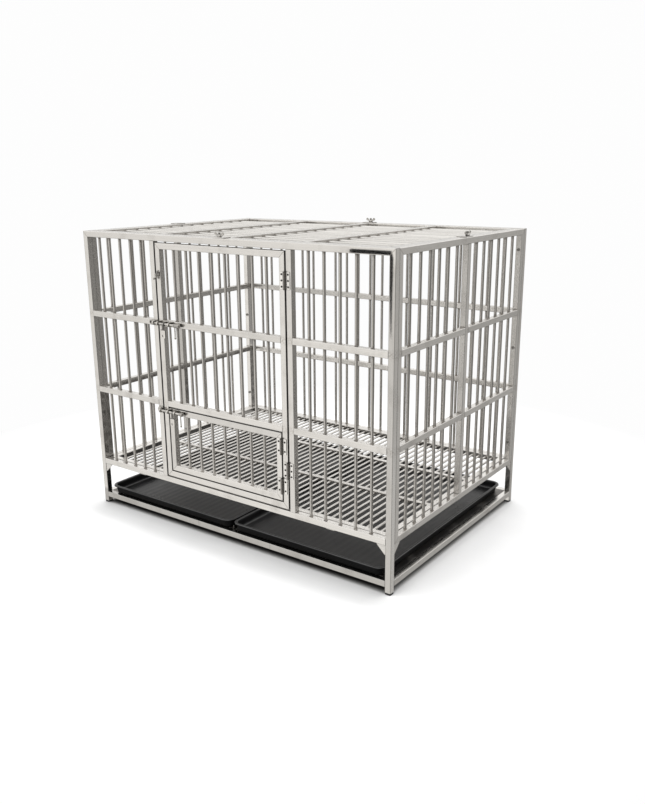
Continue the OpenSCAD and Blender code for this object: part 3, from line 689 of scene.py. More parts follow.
# ---------------------------------------------------------------- pressed and filed parts
# node, width of its broken edges in mm, material (None takes its slot's)
CLONES = [
    ("tray_runners", 0.3, RUNNER_STEEL),
    ("gussets", 0.5, None),
    ("grate_lugs", 0.5, None),
    ("top_lugs", 0.6, TUBE_STEEL),
    ("main_hinge_post_leaves", 0.6, HINGE_STEEL),
    ("main_hinge_door_leaves", 0.6, HINGE_STEEL),
    ("feed_hinge_stile_leaves", 0.6, HINGE_STEEL),
    ("feed_hinge_door_leaves", 0.6, HINGE_STEEL),
    ("main_keeper", 0.6, LATCH_STEEL),
    ("feed_keeper", 0.6, LATCH_STEEL),
    ("main_bolt_bracket", 0.6, LATCH_STEEL),
    ("feed_bolt_bracket", 0.6, LATCH_STEEL),
    ("main_hasp", 1.35, HASP_STEEL),
    ("feed_hasp", 1.35, HASP_STEEL),
    ("main_hinge_pins", 0.5, None),
    ("feed_hinge_pins", 0.5, None),
    ("tie_bolts", 0.4, STUD_STEEL),
    ("rivet_nuts", 0.3, STUD_STEEL),
    ("foot_plugs", 1.0, None),
]
for i, (node, width, material) in enumerate(CLONES):
    clone(node, width * MM, material, seed=50 + i)


# ---------------------------------------------------------------- screws with a cross recess
SCREW_RADIUS = 3.1 * MM
SCREW_HEAD = 1.25 * MM


def screw_head(mesh):
    """Pan head facing -Y with a cross recess; its shank meets the plate at the origin."""
    radius, height = SCREW_RADIUS, SCREW_HEAD
    arm, width, depth = 0.62 * radius, 0.17 * radius, 0.75 * height
    # radius and distance in front of the plate
    outer = [(radius * 0.98, -0.1 * MM), (radius, 0.25 * height), (radius * 0.93, 0.62 * height),
             (radius * 0.80, 0.88 * height), (radius * 0.72, 0.96 * height)]
    cross = []
    for quarter in range(4):
        angle = quarter * math.pi / 2 + math.pi / 4
        out = Vector((math.cos(angle), 0, math.sin(angle)))
        side = Vector((-math.sin(angle), 0, math.cos(angle)))
        cross += [out * arm - side * width, out * arm + side * width, out * width + side * width]
    # the cross has 12 corners; the ring round it has 36 points so the two sew together
    count = 36
    step = 2 * math.pi / count
    angles = [step * k + math.pi / 4 - step * 1.5 for k in range(count)]
    made = rings(mesh, [[Vector((math.cos(angle) * r, -forward, math.sin(angle) * r))
                         for angle in angles] for r, forward in outer], cap=False)
    mesh.faces.new(made[0][::-1])
    rim = [mesh.verts.new(corner + Vector((0, -height, 0))) for corner in cross]
    low = [mesh.verts.new(corner * 0.86 + Vector((0, depth - height, 0))) for corner in cross]
    for k in range(12):
        after = (k + 1) % 12
        arc = [made[-1][(3 * k + j) % count] for j in range(4)]
        mesh.faces.new((rim[k], *arc, rim[after]))
        mesh.faces.new((rim[k], rim[after], low[after], low[k]))
    mesh.faces.new(low)


def screws(node, body):
    """A head at each of the node's solids, and the shank behind it."""
    mesh = bmesh.new()
    rng = random.Random(5)
    for points in sorted(solid_points(node).values(), key=lambda pts: min(tuple(p) for p in pts)):
        low, high = extent(points)
        centre = (low + high) / 2
        length = high.y - low.y
        screw = bmesh.new()
        screw_head(screw)
        shank = [(1.42 * MM, 0), (1.42 * MM, length - 2.4 * MM), (0.9 * MM, length - 1.3 * MM)]
        lathe(screw, (0, -0.05 * MM, 0), (0, 1, 0), shank, count=16)
        turn = Matrix.Rotation(rng.random() * 1.5, 4, "Y")
        merge(mesh, screw, Matrix.Translation((centre.x, low.y + 1.2 * MM, centre.z)) @ turn)
    piece(node + "_made", mesh, FASTENER_STEEL, body, replaces=node, smooth=40,
          seed=3)


screws("post_screws", "cage")
screws("main_door_screws", "main_door")
screws("feed_door_screws", "feed_door")

# ---------------------------------------------------------------- threaded studs
STUD_RADIUS = 3.95 * MM
THREAD_PITCH = 1.25 * MM
THREAD_DEPTH = 0.55 * MM
HEX_FLATS = 11 * MM
HEX_HEIGHT = 3 * MM


def thread(mesh, origin, axis, length):
    """A helical thread as one closed skin."""
    x, y, z = axes_of(axis)
    loops_per_turn, count = 6, 24
    steps = int(length / THREAD_PITCH * loops_per_turn)
    loops = []
    for i in range(steps + 1):
        height = i * length / steps
        loop = []
        for k in range(count):
            phase = (height / THREAD_PITCH - k / count) % 1.0
            radius = STUD_RADIUS - THREAD_DEPTH * abs(2 * phase - 1)
            if i in (0, steps):
                radius = STUD_RADIUS - THREAD_DEPTH
            loop.append(origin + z * height + spoke(x, y, k, count) * radius)
        loops.append(loop)
    rings(mesh, loops)


def stud(mesh, base, axis, length, shank, thread_start):
    """A hexagonal head at base, a plain shank of length shank, then a thread to the end."""
    base, axis = Vector(base), Vector(axis)
    corner = HEX_FLATS / math.sqrt(3)
    lathe(mesh, base, axis, [(corner * 0.93, 0), (corner, 0.12 * HEX_HEIGHT),
                             (corner, 0.88 * HEX_HEIGHT), (corner * 0.93, HEX_HEIGHT)], count=6)
    lathe(mesh, base + axis * (HEX_HEIGHT - 0.1 * MM), axis,
          [(STUD_RADIUS, 0), (STUD_RADIUS, shank)], count=24)
    thread(mesh, base + axis * thread_start, axis, length - thread_start)


def studs():
    mesh = bmesh.new()
    for label, points in sorted(solid_points("top_studs").items()):
        low, high = extent(points)
        centre = (low + high) / 2
        stud(mesh, (centre.x, centre.y, low.z), (0, 0, 1), high.z - low.z,
             shank=3.5 * MM, thread_start=6 * MM)
    piece("top_studs_made", mesh, STUD_STEEL, "cage", replaces="top_studs",
          smooth=30, seed=4)
    mesh = bmesh.new()
    low, high = corners("door_stud")
    centre = (low + high) / 2
    stud(mesh, (centre.x, high.y, centre.z), (0, -1, 0), high.y - low.y,
         shank=20 * MM, thread_start=22 * MM)
    piece("door_stud_made", mesh, STUD_STEEL, "main_door",
          replaces="door_stud", smooth=30, seed=4)


studs()

# ---------------------------------------------------------------- wing nuts
# section of the threaded boss: radius and height, mm
WING_BOSS = [(4.05, 0.35), (4.4, 0.0), (6.7, 0.0), (6.95, 0.35), (6.6, 3.2), (6.0, 6.6),
             (5.6, 7.6), (5.1, 8.0), (4.35, 8.0), (4.05, 7.7)]
# outline of one wing: distance from the axis and height, mm
WING_OUTLINE = [(4.9, 1.4), (7.0, 1.7), (9.6, 3.0), (12.2, 4.5), (15.0, 4.9), (17.6, 6.0),
                (19.3, 8.2), (19.5, 10.8), (18.3, 13.3), (16.0, 14.9), (13.4, 15.0),
                (11.3, 13.6), (9.8, 11.4), (8.2, 9.4), (6.6, 7.9), (4.9, 7.1)]
# layers across a wing: side, outline's scale about the ear's middle, share of the half thickness
WING_LAYERS = [(-1, 0.50, 0.45), (-1, 0.72, 0.95), (-1, 0.90, 1.0), (-1, 1.0, 0.55),
               (1, 1.0, 0.55), (1, 0.90, 1.0), (1, 0.72, 0.95), (1, 0.50, 0.45)]
EAR_X, EAR_Z = 14.2, 9.9      # middle of the ear, mm
ROOT_X = 6                    # outline points up to here belong to the root, mm


def wing_point(x, z, hand, side, scale, share):
    """A point of one layer of a wing, thick at the root and thin at the rounded ear."""
    thick = 2.3 if x < 8 else 2.3 - 0.7 * min(1.0, (x - 8) / 6)
    if x > ROOT_X:
        scale_x = scale_z = scale
    else:
        scale_x, scale_z, share = 1.0, max(scale, 0.8), max(share, 0.8)
    return Vector((hand * (EAR_X + (x - EAR_X) * scale_x) * MM, side * thick * share * MM,
                   (EAR_Z + (z - EAR_Z) * scale_z) * MM))


def wing_nut(node, material_seat, turn):
    """A cast wing nut whose own seat is z = 0 and wings lie along x, placed by two matrices."""
    nut = bmesh.new()
    lathe(nut, (0, 0, 0), (0, 0, 1), [(radius * MM, height * MM) for radius, height in WING_BOSS],
          count=40, closed=True)
    for hand in (-1, 1):
        rings(nut, [[wing_point(x, z, hand, *layer) for x, z in WING_OUTLINE]
                    for layer in WING_LAYERS])
    mesh = bmesh.new()
    merge(mesh, nut, material_seat @ Matrix.Rotation(turn, 4, "Z"))
    piece(node + "_made", mesh, WING_STEEL, BODY[node], replaces=node,
          smooth=55, seed=6)


for node, turn in (("wing_nut_front", 0.0), ("wing_nut_back", 0.0),
                   ("wing_nut_right", math.pi / 2)):
    low, high = corners(node)
    wing_nut(node, Matrix.Translation(((low.x + high.x) / 2, (low.y + high.y) / 2, low.z)), turn)
low, high = corners("door_wing_nut")
door_seat = Matrix.Translation(((low.x + high.x) / 2, high.y, (low.z + high.z) / 2))
wing_nut("door_wing_nut", door_seat @ Matrix.Rotation(math.pi / 2, 4, "X"), math.radians(55))

# ---------------------------------------------------------------- slide bolts
BOLT_RADIUS = 4.0 * MM


def bolt(node, knob_length, ribs):
    """A rod along X with a ribbed knob at its right end and a finger pull hanging below."""
    low, high = corners(node)
    axis_z, axis_y = high.z - 7 * MM, (low.y + high.y) / 2
    knob_x = high.x - knob_length
    mesh = bmesh.new()
    radius = BOLT_RADIUS
    height = knob_x - low.x
    profile = [(radius - 1.4 * MM, 0.0), (radius - 0.5 * MM, 0.5 * MM), (radius, 1.8 * MM),
               (radius, height - 0.6 * MM), (radius - 0.5 * MM, height)]
    step = (knob_length - 3 * MM) / ribs
    for i in range(ribs):
        # the ribs grow toward the end; each row is (groove depth, share of the step)
        big = (5.5 + 1.5 * (i + 0.5) / ribs) * MM
        for depth, share in ((1.5, 0.15), (0.25, 0.30), (0.0, 0.55), (0.25, 0.85), (1.5, 0.98)):
            profile.append((big - depth * MM, height + share * step))
        height += step
    end = high.x - low.x
    for tip_radius, back in ((5.0, 2.7), (6.6, 2.2), (6.2, 1.0), (4.8, 0.3), (3.0, 0.0)):
        profile.append((tip_radius * MM, end - back * MM))
    lathe(mesh, (low.x, axis_y, axis_z), (1, 0, 0), profile, count=36)
    drop = axis_z - low.z
    pull = [(2.2 * MM, 0.5 * MM), (2.2 * MM, 12 * MM), (1.9 * MM, 14 * MM), (2.2 * MM, 16 * MM)]
    # the pull's tip: radius and distance from its lower end, mm
    for tip_radius, back in ((2.2, 8.5), (2.6, 7.2), (3.35, 5.4), (3.4, 2.6), (2.7, 0.8),
                             (1.3, 0.0)):
        pull.append((tip_radius * MM, drop - back * MM))
    lathe(mesh, (knob_x + 5 * MM, axis_y, axis_z), (0, 0, -1), pull, count=24)
    piece(node + "_made", mesh, LATCH_STEEL, BODY[node], smooth=32, replaces=node,
          seed=14)


bolt("main_bolt_rod", knob_length=26 * MM, ribs=5)
bolt("feed_bolt_rod", knob_length=15 * MM, ribs=3)

# ---------------------------------------------------------------- trays
CORNER_STEPS = 5
TRAY_STEPS_X, TRAY_STEPS_Y = 88, 40      # grid steps between the round corners
TRAY_FLOOR = 3.0 * MM                    # height of the floor's upper face
RIB_PITCH = 26 * MM
RIB_HEIGHT = 0.45 * MM


def round_corner(x, y, half_x, half_y, radius):
    """A point of a rectangle moved so that the rectangle's corners are round."""
    past_x, past_y = abs(x) - (half_x - radius), abs(y) - (half_y - radius)
    if past_x > 0 and past_y > 0:
        pull = max(past_x, past_y) / math.hypot(past_x, past_y)
        x = math.copysign(half_x - radius + past_x * pull, x)
        y = math.copysign(half_y - radius + past_y * pull, y)
    return x, y


def grid_lines(half, radius, straight):
    corner = [-half + radius * i / CORNER_STEPS for i in range(CORNER_STEPS)]
    flat = half - radius
    inner = [-flat + 2 * flat * i / straight for i in range(straight + 1)]
    return corner + inner + [-value for value in corner[::-1]]


def tray(name, node):
    """A shallow tray with a rolled rim and ribs across its floor."""
    low, high = corners(node)
    base = Vector(((low.x + high.x) / 2, (low.y + high.y) / 2, low.z))
    full_x, full_y = (high.x - low.x) / 2, (high.y - low.y) / 2
    rim = (high.z - low.z) / MM
    mesh = bmesh.new()
    last_x, last_y = (steps + 2 * CORNER_STEPS for steps in (TRAY_STEPS_X, TRAY_STEPS_Y))
    border = ([(a, 0) for a in range(last_x + 1)]
              + [(last_x, b) for b in range(1, last_y + 1)]
              + [(a, last_y) for a in range(last_x - 1, -1, -1)]
              + [(0, b) for b in range(last_y - 1, 0, -1)])

    def grid_place(inset, radius):
        """Gives the place of a grid point on the tray's plan, inset from its edge."""
        half_x, half_y, radius = full_x - inset * MM, full_y - inset * MM, radius * MM
        lines_x = grid_lines(half_x, radius, TRAY_STEPS_X)
        lines_y = grid_lines(half_y, radius, TRAY_STEPS_Y)
        return lambda a, b: round_corner(lines_x[a], lines_y[b], half_x, half_y, radius)

    def rib(x, y):
        """Height of the ribs, which run from the front to the back and fade near the walls."""
        edge = min(full_x - 34 * MM - abs(x), full_y - 46 * MM - abs(y))
        fade = max(0.0, min(1.0, edge / (9 * MM)))
        wave = max(0.0, math.cos(2 * math.pi * ((x / RIB_PITCH) % 1.0)))
        return RIB_HEIGHT * fade * wave ** 0.8

    # sections from the rim to the floor: inset from the edge, corner radius, height, mm
    inner = [(4.6, 26, rim), (7.0, 24, rim - 0.1), (8.6, 22.5, rim - 0.9), (9.4, 21.5, rim - 2.4),
             (10.6, 20.5, 22), (12.4, 19.5, 12), (13.6, 18.5, 7.0), (15.2, 17.5, 4.6),
             (18.0, 16, 3.35), (21.0, 14, 3.0)]
    outer = [(4.6, 26, rim), (2.2, 28, rim - 0.25), (0.7, 29.3, rim - 1.2), (0.0, 30, rim - 3.0),
             (0.15, 29.9, rim - 4.9), (1.3, 28.7, rim - 5.6), (2.7, 27.3, rim - 5.0),
             (3.2, 26.8, rim - 3.3), (5.4, 24.6, rim - 2.9), (6.9, 23.2, rim - 4.2),
             (7.8, 22.5, 20), (9.6, 21.5, 10), (10.8, 20.5, 4.2), (12.4, 19.5, 1.6),
             (15.4, 17.5, 0.35), (21.0, 14, 0.0)]

    def skin(section, floor_z, order):
        """One side of the sheet: walls, then floor. order (1 or -1) turns its faces."""
        loops = []
        for inset, radius, height in section:
            place = grid_place(inset, radius)
            loops.append([mesh.verts.new(base + Vector((*place(a, b), height * MM)))
                          for a, b in border])
        count = len(border)
        for upper, lower in zip(loops, loops[1:]):
            for k in range(count):
                after = (k + 1) % count
                mesh.faces.new((upper[k], upper[after], lower[after], lower[k])[::order])
        grid = dict(zip(border, loops[-1]))
        for a in range(last_x + 1):
            for b in range(last_y + 1):
                if (a, b) not in grid:
                    x, y = place(a, b)
                    grid[a, b] = mesh.verts.new(base + Vector((x, y, floor_z + rib(x, y))))
        for a in range(last_x):
            for b in range(last_y):
                mesh.faces.new((grid[a, b], grid[a + 1, b], grid[a + 1, b + 1],
                                grid[a, b + 1])[::order])

    skin(inner, TRAY_FLOOR, 1)
    skin(outer, 0.0, -1)
    bmesh.ops.remove_doubles(mesh, verts=mesh.verts, dist=1e-6)
    piece(name, mesh, TRAY_PLASTIC, BODY[node], replaces=node, smooth=60, seed=2)


tray("tray_left_made", "tray_left")
tray("tray_right_made", "tray_right")

# ---------------------------------------------------------------- weld beads
weld_rng = random.Random(21)      # shared by every weld, in the order they are made
BEAD_HALF = TUBE / 2 - 1.6 * MM   # half the length of a bead across a tube


def weld_ring(mesh, centre, axis, radius, width, count=14):
    """A fillet of weld round a bar where it meets a rail; axis leads away from the rail."""
    x, y, z = axes_of(axis)
    centre = Vector(centre)
    profile = [(radius - 0.3 * MM, -0.25 * MM), (radius + width, -0.25 * MM),
               (radius + 0.72 * width, 0.45 * width), (radius + 0.25 * width, 0.92 * width),
               (radius - 0.2 * MM, 1.15 * width)]
    start = weld_rng.random() * 6.28
    lumps = [1.0 + 0.16 * math.sin(k * 2.399 + start) + 0.10 * (weld_rng.random() - 0.5)
             for k in range(count)]
    loops = []
    for j, (ring_radius, height) in enumerate(profile):
        loop = []
        for k in range(count):
            lump = lumps[k] if 0 < j < 4 else 1.0
            loop.append(centre + z * (height * (lump if j > 1 else 1))
                        + spoke(x, y, k, count) * (radius + (ring_radius - radius) * lump))
        loops.append(loop)
    rings(mesh, loops, closed=True)


def weld_line(mesh, start, end, radius, pitch=1.7 * MM):
    """A rippled bead from start to end, half sunk into the corner it runs along."""
    start, end = Vector(start), Vector(end)
    x, y, z = axes_of(end - start)
    length = (end - start).length
    steps = max(6, int(length / pitch * 3))
    loops = []
    for i in range(steps + 1):
        share = i / steps
        ripple = abs(math.sin(math.pi * share * length / pitch))
        bead = radius * (0.86 + 0.16 * ripple + 0.06 * (weld_rng.random() - 0.5))
        if i in (0, steps):
            bead *= 0.55
        centre = start.lerp(end, share)
        loops.append([centre + spoke(x, y, k, 7) * bead for k in range(7)])
    rings(mesh, loops)


def bar_welds(mesh, node, levels):
    """Weld rings on a node's upright bars; each level is (height, direction)."""
    for centre, low, high in solids(node):
        for z, direction in levels:
            if low.z - 1 * MM <= z <= high.z + 1 * MM:
                weld_ring(mesh, (centre.x, centre.y, z), (0, 0, direction),
                          radius=(high.x - low.x) / 2, width=1.5 * MM)


def cross_beads(mesh, xs, ys, zs, along, radius=1.1 * MM):
    """A bead through each meeting of xs, ys and zs, as long as a tube is wide."""
    reach = Vector(along) * BEAD_HALF
    for x in xs:
        for y in ys:
            for z in zs:
                point = Vector((x, y, z))
                weld_line(mesh, point - reach, point + reach, radius)


def weld_piece(name, mesh, body, seed=8):
    piece(name, mesh, WELD, body, smooth=50, seed=seed)


# rail faces and the way the bars lead away from them
LEVELS = [(SILL, 1), (TOP - TUBE, -1), (LOW_RAIL - TUBE, -1), (LOW_RAIL, 1),
          (HIGH_RAIL - TUBE, -1), (HIGH_RAIL, 1)]
MIDDLE_FACES = (LOW_RAIL, LOW_RAIL - TUBE, HIGH_RAIL, HIGH_RAIL - TUBE)
SIDE_FACES = (LEFT + TUBE, RIGHT - TUBE)      # inner faces of the corner posts
ALONG_X, ALONG_Y, ALONG_Z = (1, 0, 0), (0, 1, 0), (0, 0, 1)


def front_welds():
    # the uprights between the corner posts, told by their width and height
    posts = sorted((low.x, high.x) for centre, low, high in solids("front_frame")
                   if high.x - low.x < 1.5 * TUBE and 0.5 < high.z - low.z < TOP - 0.1)
    first, last = posts[0], posts[-1]
    mesh = bmesh.new()
    bar_welds(mesh, "front_bars", LEVELS)
    panel_sides = (SIDE_FACES[0], first[0], last[1], SIDE_FACES[1])
    cross_beads(mesh, panel_sides, [FRONT_ROW], MIDDLE_FACES, ALONG_Y)
    cross_beads(mesh, SIDE_FACES, [FRONT_ROW], (SILL, SILL - TUBE), ALONG_Y)
    cross_beads(mesh, (*first, *last), [FRONT_ROW], (SILL, TOP - TUBE), ALONG_Y)
    weld_piece("welds_front", mesh, "cage")


def back_welds():
    mesh = bmesh.new()
    bar_welds(mesh, "back_bars", LEVELS)
    cross_beads(mesh, SIDE_FACES, [BACK_ROW], (SILL, SILL - TUBE, *MIDDLE_FACES), ALONG_Y)
    weld_piece("welds_back", mesh, "cage")


def side_welds(side, x):
    mesh = bmesh.new()
    bar_welds(mesh, side + "_side_bars", LEVELS)
    middle_post = (MIDDLE_Y - TUBE / 2, MIDDLE_Y + TUBE / 2)
    all_posts = (FRONT + 2 * TUBE, *middle_post, BACK - 2 * TUBE)
    cross_beads(mesh, [x], all_posts, MIDDLE_FACES, ALONG_X)
    cross_beads(mesh, [x], middle_post, (SILL, TOP - TUBE), ALONG_X)
    weld_piece("welds_" + side, mesh, "cage")


def lower_rail_welds():
    mesh = bmesh.new()
    for corner in corners("lower_rails"):
        cross_beads(mesh, SIDE_FACES, (FRONT_ROW, BACK_ROW), [corner.z], ALONG_Y, 1.0 * MM)
        cross_beads(mesh, (LEFT + TUBE / 2, RIGHT - TUBE / 2), (FRONT + TUBE, BACK - TUBE),
                    [corner.z], ALONG_X, 1.0 * MM)
    weld_piece("welds_lower", mesh, "cage")


def door_welds():
    low, high = corners("main_door_frame")
    mesh = bmesh.new()
    bar_welds(mesh, "main_door_bars", [(LOW_RAIL, 1), (high.z - TUBE, -1),
                                       (HIGH_RAIL - TUBE, -1), (HIGH_RAIL, 1)])
    cross_beads(mesh, (low.x + TUBE, high.x - TUBE), [FRONT_ROW],
                (HIGH_RAIL, HIGH_RAIL - TUBE) if False else MIDDLE_FACES_DOOR, ALONG_Y)
    weld_piece("welds_main_door", mesh, "main_door")
    low, high = corners("feed_door_frame")
    mesh = bmesh.new()
    bar_welds(mesh, "feed_door_bars", [(low.z + TUBE, 1), (high.z - TUBE, -1)])
    weld_piece("welds_feed_door", mesh, "feed_door")


MIDDLE_FACES_DOOR = MIDDLE_FACES


def grate_ring_welds():
    mesh = bmesh.new()
    for centre, low, high in solids("grate_bars"):
        for y, direction in ((low.y, 1), (high.y, -1)):
            weld_ring(mesh, (centre.x, y, centre.z), (0, direction, 0),
                      radius=(high.x - low.x) / 2, width=1.3 * MM, count=12)
    weld_piece("welds_grate", mesh, "floor_grate")


def top_panel_welds():
    mesh = bmesh.new()
    bars = [(centre, low, high, (high.y - low.y) / 2) for centre, low, high in solids("top_bars")]
    for bar, low, high, radius in bars:
        for x, direction in ((low.x, 1), (high.x, -1)):
            weld_ring(mesh, (x, bar.y, bar.z), (direction, 0, 0), radius, width=1.5 * MM)
    for centre, low, high in solids("top_mullions"):
        for bar, bar_low, bar_high, radius in bars:
            for x, direction in ((low.x, -1), (high.x, 1)):
                weld_ring(mesh, (x, bar.y, bar.z), (direction, 0, 0), radius, width=1.3 * MM,
                          count=12)
        for y in (low.y, high.y):
            cross_beads(mesh, (low.x, high.x), [y], [centre.z], ALONG_Z)
    weld_piece("welds_top", mesh, "top_panel")


front_welds()
back_welds()
side_welds("left", LEFT + TUBE / 2)
side_welds("right", RIGHT - TUBE / 2)
lower_rail_welds()
door_welds()
grate_ring_welds()
top_panel_welds()


# ---------------------------------------------------------------- mitre seams and weld dabs
def mitre_seams(mesh, axis, faces, across, upward):
    """Ground-down seams over a frame's corners, on both of its faces.

    faces are the places of the two faces along axis (0, 1 or 2). across and upward are the
    frame's outer sides (low, high) along the two other axes; None leaves a side out.
    """
    first, second = [k for k in range(3) if k != axis]
    for face, inward in zip(faces, (1, -1)):
        for v, v_inward in zip(upward, (1, -1)):
            if v is None:
                continue
            for u, u_inward in zip(across, (1, -1)):
                ends = []
                for reach in (1.2 * MM, TUBE - 0.6 * MM):
                    end = [0.0] * 3
                    end[axis] = face + inward * 0.45 * MM
                    end[first], end[second] = u + u_inward * reach, v + v_inward * reach
                    ends.append(end)
                weld_line(mesh, *ends, radius=0.75 * MM, pitch=2.4 * MM)


def frame_seams(name, node, body, axis):
    """Seams of a node's frame, whose faces look along axis."""
    low, high = corners(node)
    faces = (FRONT, FRONT + TUBE) if axis == 1 else (low.z, high.z)
    first, second = [k for k in range(3) if k != axis]
    mesh = bmesh.new()
    mitre_seams(mesh, axis, faces, (low[first], high[first]), (low[second], high[second]))
    weld_piece(name, mesh, body, seed=9)


SPLICE_XS = (-0.139, 0.174)                     # seams across the lower front and back rails
DABS = ((-0.2585, 0.036), (0.204, 0.037))       # y, z of dabs on the outer side faces


def cage_seams():
    mesh = bmesh.new()
    for y in (FRONT, BACK - TUBE):
        mitre_seams(mesh, 1, (y, y + TUBE), (LEFT, RIGHT), (None, TOP))
    low, high = corners("left_frame")
    for x in (LEFT, RIGHT - TUBE):
        mitre_seams(mesh, 0, (x, x + TUBE), (low.y, high.y), (low.z, high.z))
    low, high = corners("lower_rails")
    margin, sunk = 1.6 * MM, 0.15 * MM
    for x in SPLICE_XS:
        for face, inward in ((FRONT, 1), (BACK, -1)):
            y, z = face + inward * sunk, high.z - sunk
            weld_line(mesh, (x, y, low.z + margin), (x, y, high.z - margin), 0.55 * MM)
            weld_line(mesh, (x, face + inward * margin, z),
                      (x, face + inward * (TUBE - margin), z), 0.55 * MM)
    for y, z in DABS:
        for x, rise in ((RIGHT - 0.3 * MM, -0.5 * MM), (LEFT + 0.3 * MM, 0.5 * MM)):
            weld_line(mesh, (x, y - 3 * MM, z), (x, y + 3 * MM, z + rise), 1.3 * MM)
    weld_piece("seams_cage", mesh, "cage", seed=9)


frame_seams("seams_main_door", "main_door_frame", "main_door", axis=1)
frame_seams("seams_feed_door", "feed_door_frame", "feed_door", axis=1)
cage_seams()
frame_seams("seams_grate", "grate_frame", "floor_grate", axis=2)
frame_seams("seams_top", "top_frame", "top_panel", axis=2)

# ---------------------------------------------------------------- surroundings
WHITE = (0.985, 0.985, 0.985, 1)
# what polished metal sees round the horizon: degrees from the camera's side, brightness
HORIZON = [(-180, 0.10), (-135, 0.14), (-105, 0.58), (-85, 1.02), (-60, 1.08), (-40, 0.90),
           (-20, 0.62), (0, 0.46), (18, 0.20), (40, 0.13), (70, 0.22), (95, 0.46), (118, 0.49),
           (138, 0.26), (158, 0.10), (180, 0.10)]
CAMERA_SIDE = (0.583, -0.813)      # x, y of the direction that counts as 0 degrees


def studio(tree, direction):
    """Colour that polished metal sees in a direction: HORIZON's ring, and white above."""
    x, y, z = tree.xyz(direction)
    side_x, side_y = CAMERA_SIDE
    cross = tree.sub(tree.mul(y, side_x), tree.mul(x, side_y))
    dot = tree.add(tree.mul(x, side_x), tree.mul(y, side_y))
    angle = tree.remap(tree.math("ARCTAN2", cross, dot), (-math.pi, math.pi))
    # darker stretches are warmer
    stops = [((degrees + 180) / 360, grey(value, 1.0 + 2.6 * max(0.0, 0.5 - value)))
             for degrees, value in HORIZON]
    horizon = tree.ramp(angle, stops, "EASE")
    return tree.mix(tree.remap(z, (-0.02, 0.22)), horizon, grey(1.10, 0.5))


def build_world():
    """White to the camera, the studio to reflections, and a soft sky to everything else."""
    world = bpy.data.worlds.new("studio")
    scene.world = world
    world.use_nodes = True
    tree = Tree(world.node_tree)
    ray = tree.node("ShaderNodeLightPath").outputs
    direction = tree.coords("Generated")
    sky = tree.ramp(tree.xyz(direction)[2], [(0.0, grey(0.10)), (0.35, grey(0.45)),
                                             (0.75, grey(1.25)), (1.0, grey(1.5))])
    colour = tree.mix(ray["Is Glossy Ray"], sky, studio(tree, direction))
    colour = tree.mix(ray["Is Camera Ray"], colour, WHITE)
    background = tree.node("ShaderNodeBackground", {"Color": colour})
    tree.output(background.outputs[0], "ShaderNodeOutputWorld")


def floor_colour(tree, position):
    """Pale floor with painted shadows: dark where the cage touches it, under the cage and softly
    in front of it.
    """
    mottle = tree.clouds(position, 3.0, detail=4.0)
    pale = tree.ramp(mottle, [(0.3, grey(0.80)), (0.7, grey(0.84))])
    openness = tree.openness(samples=12, distance=0.075)
    x, y, z = tree.xyz(position)
    # contact shadow, narrower at the right side
    right = tree.remap(x, (RIGHT - 0.03, RIGHT - 0.005))
    open_left = tree.mul(tree.sub(1.0, right), tree.remap(openness, (0.10, 0.90)))
    open_right = tree.mul(right, tree.remap(openness, (0.0, 0.66)))
    pale = tree.mix(tree.add(open_left, open_right), (0.10, 0.098, 0.095, 1), pale)
    # painted shadow under the cage
    near, far = 0.028, 0.012
    under_x = tree.remap(tree.abs(x), (RIGHT - near, RIGHT - far), to=(1.0, 0.0))
    under_y = tree.remap(tree.abs(tree.sub(y, MIDDLE_Y)),
                         (HALF_DEPTH - near, HALF_DEPTH - far), to=(1.0, 0.0))
    under = tree.mul(tree.mul(under_x, under_y), 0.85)
    pale = tree.mix(under, pale, (0.03, 0.0295, 0.029, 1))
    # a broad soft shadow runs out over the floor in front of the cage
    forward = tree.remap(tree.sub(FRONT, y), (0.0, 0.14))
    shadow = tree.ramp(forward, [
        (0.0, grey(1.0)), (0.08, grey(0.90)), (0.16, grey(0.85)), (0.27, grey(0.805)),
        (0.46, grey(0.80)), (0.60, grey(0.845)), (0.72, grey(0.905)), (0.86, grey(0.965)),
        (1.0, grey(1.0))])
    reach = tree.mul(tree.remap(x, (RIGHT + 0.10, RIGHT - 0.05)),
                     tree.remap(x, (LEFT - 0.16, LEFT + 0.04)))
    return tree.mix(reach, pale, tree.mix(1.0, pale, shadow, "MULTIPLY"))


def floor_material():
    material, tree = new_material("studio_floor")
    ray = tree.node("ShaderNodeLightPath").outputs
    position = tree.coords()
    seen = floor_colour(tree, position)
    bounce = (0.26, 0.26, 0.26, 1)
    diffuse = tree.node("ShaderNodeBsdfDiffuse", {
        "Color": tree.mix(ray["Is Camera Ray"], bounce, seen)})
    outward = tree.scaled(tree.geometry("Incoming"), -1.0)
    mirrored = tree.node("ShaderNodeEmission", {"Color": studio(tree, outward)})
    ground = tree.node("ShaderNodeMixShader", {
        0: tree.mul(ray["Is Glossy Ray"], 0.85), 1: diffuse.outputs[0], 2: mirrored.outputs[0]})
    # away from the cage the floor runs into the white sweep
    white = tree.node("ShaderNodeEmission", {"Color": WHITE})
    distance = tree.vector("LENGTH", tree.vector("SUBTRACT", position, (0.0, 0.0, 0.0)))
    away = tree.mul(tree.remap(distance, (0.85, 1.7)), ray["Is Camera Ray"])
    surface = tree.node("ShaderNodeMixShader", {0: away, 1: ground.outputs[0],
                                                2: white.outputs[0]})
    tree.output(surface.outputs[0])
    return material


def stage_object(name, mesh):
    data = bpy.data.meshes.new(name)
    mesh.to_mesh(data)
    mesh.free()
    obj = bpy.data.objects.new(name, data)
    scene.collection.objects.link(obj)
    return obj


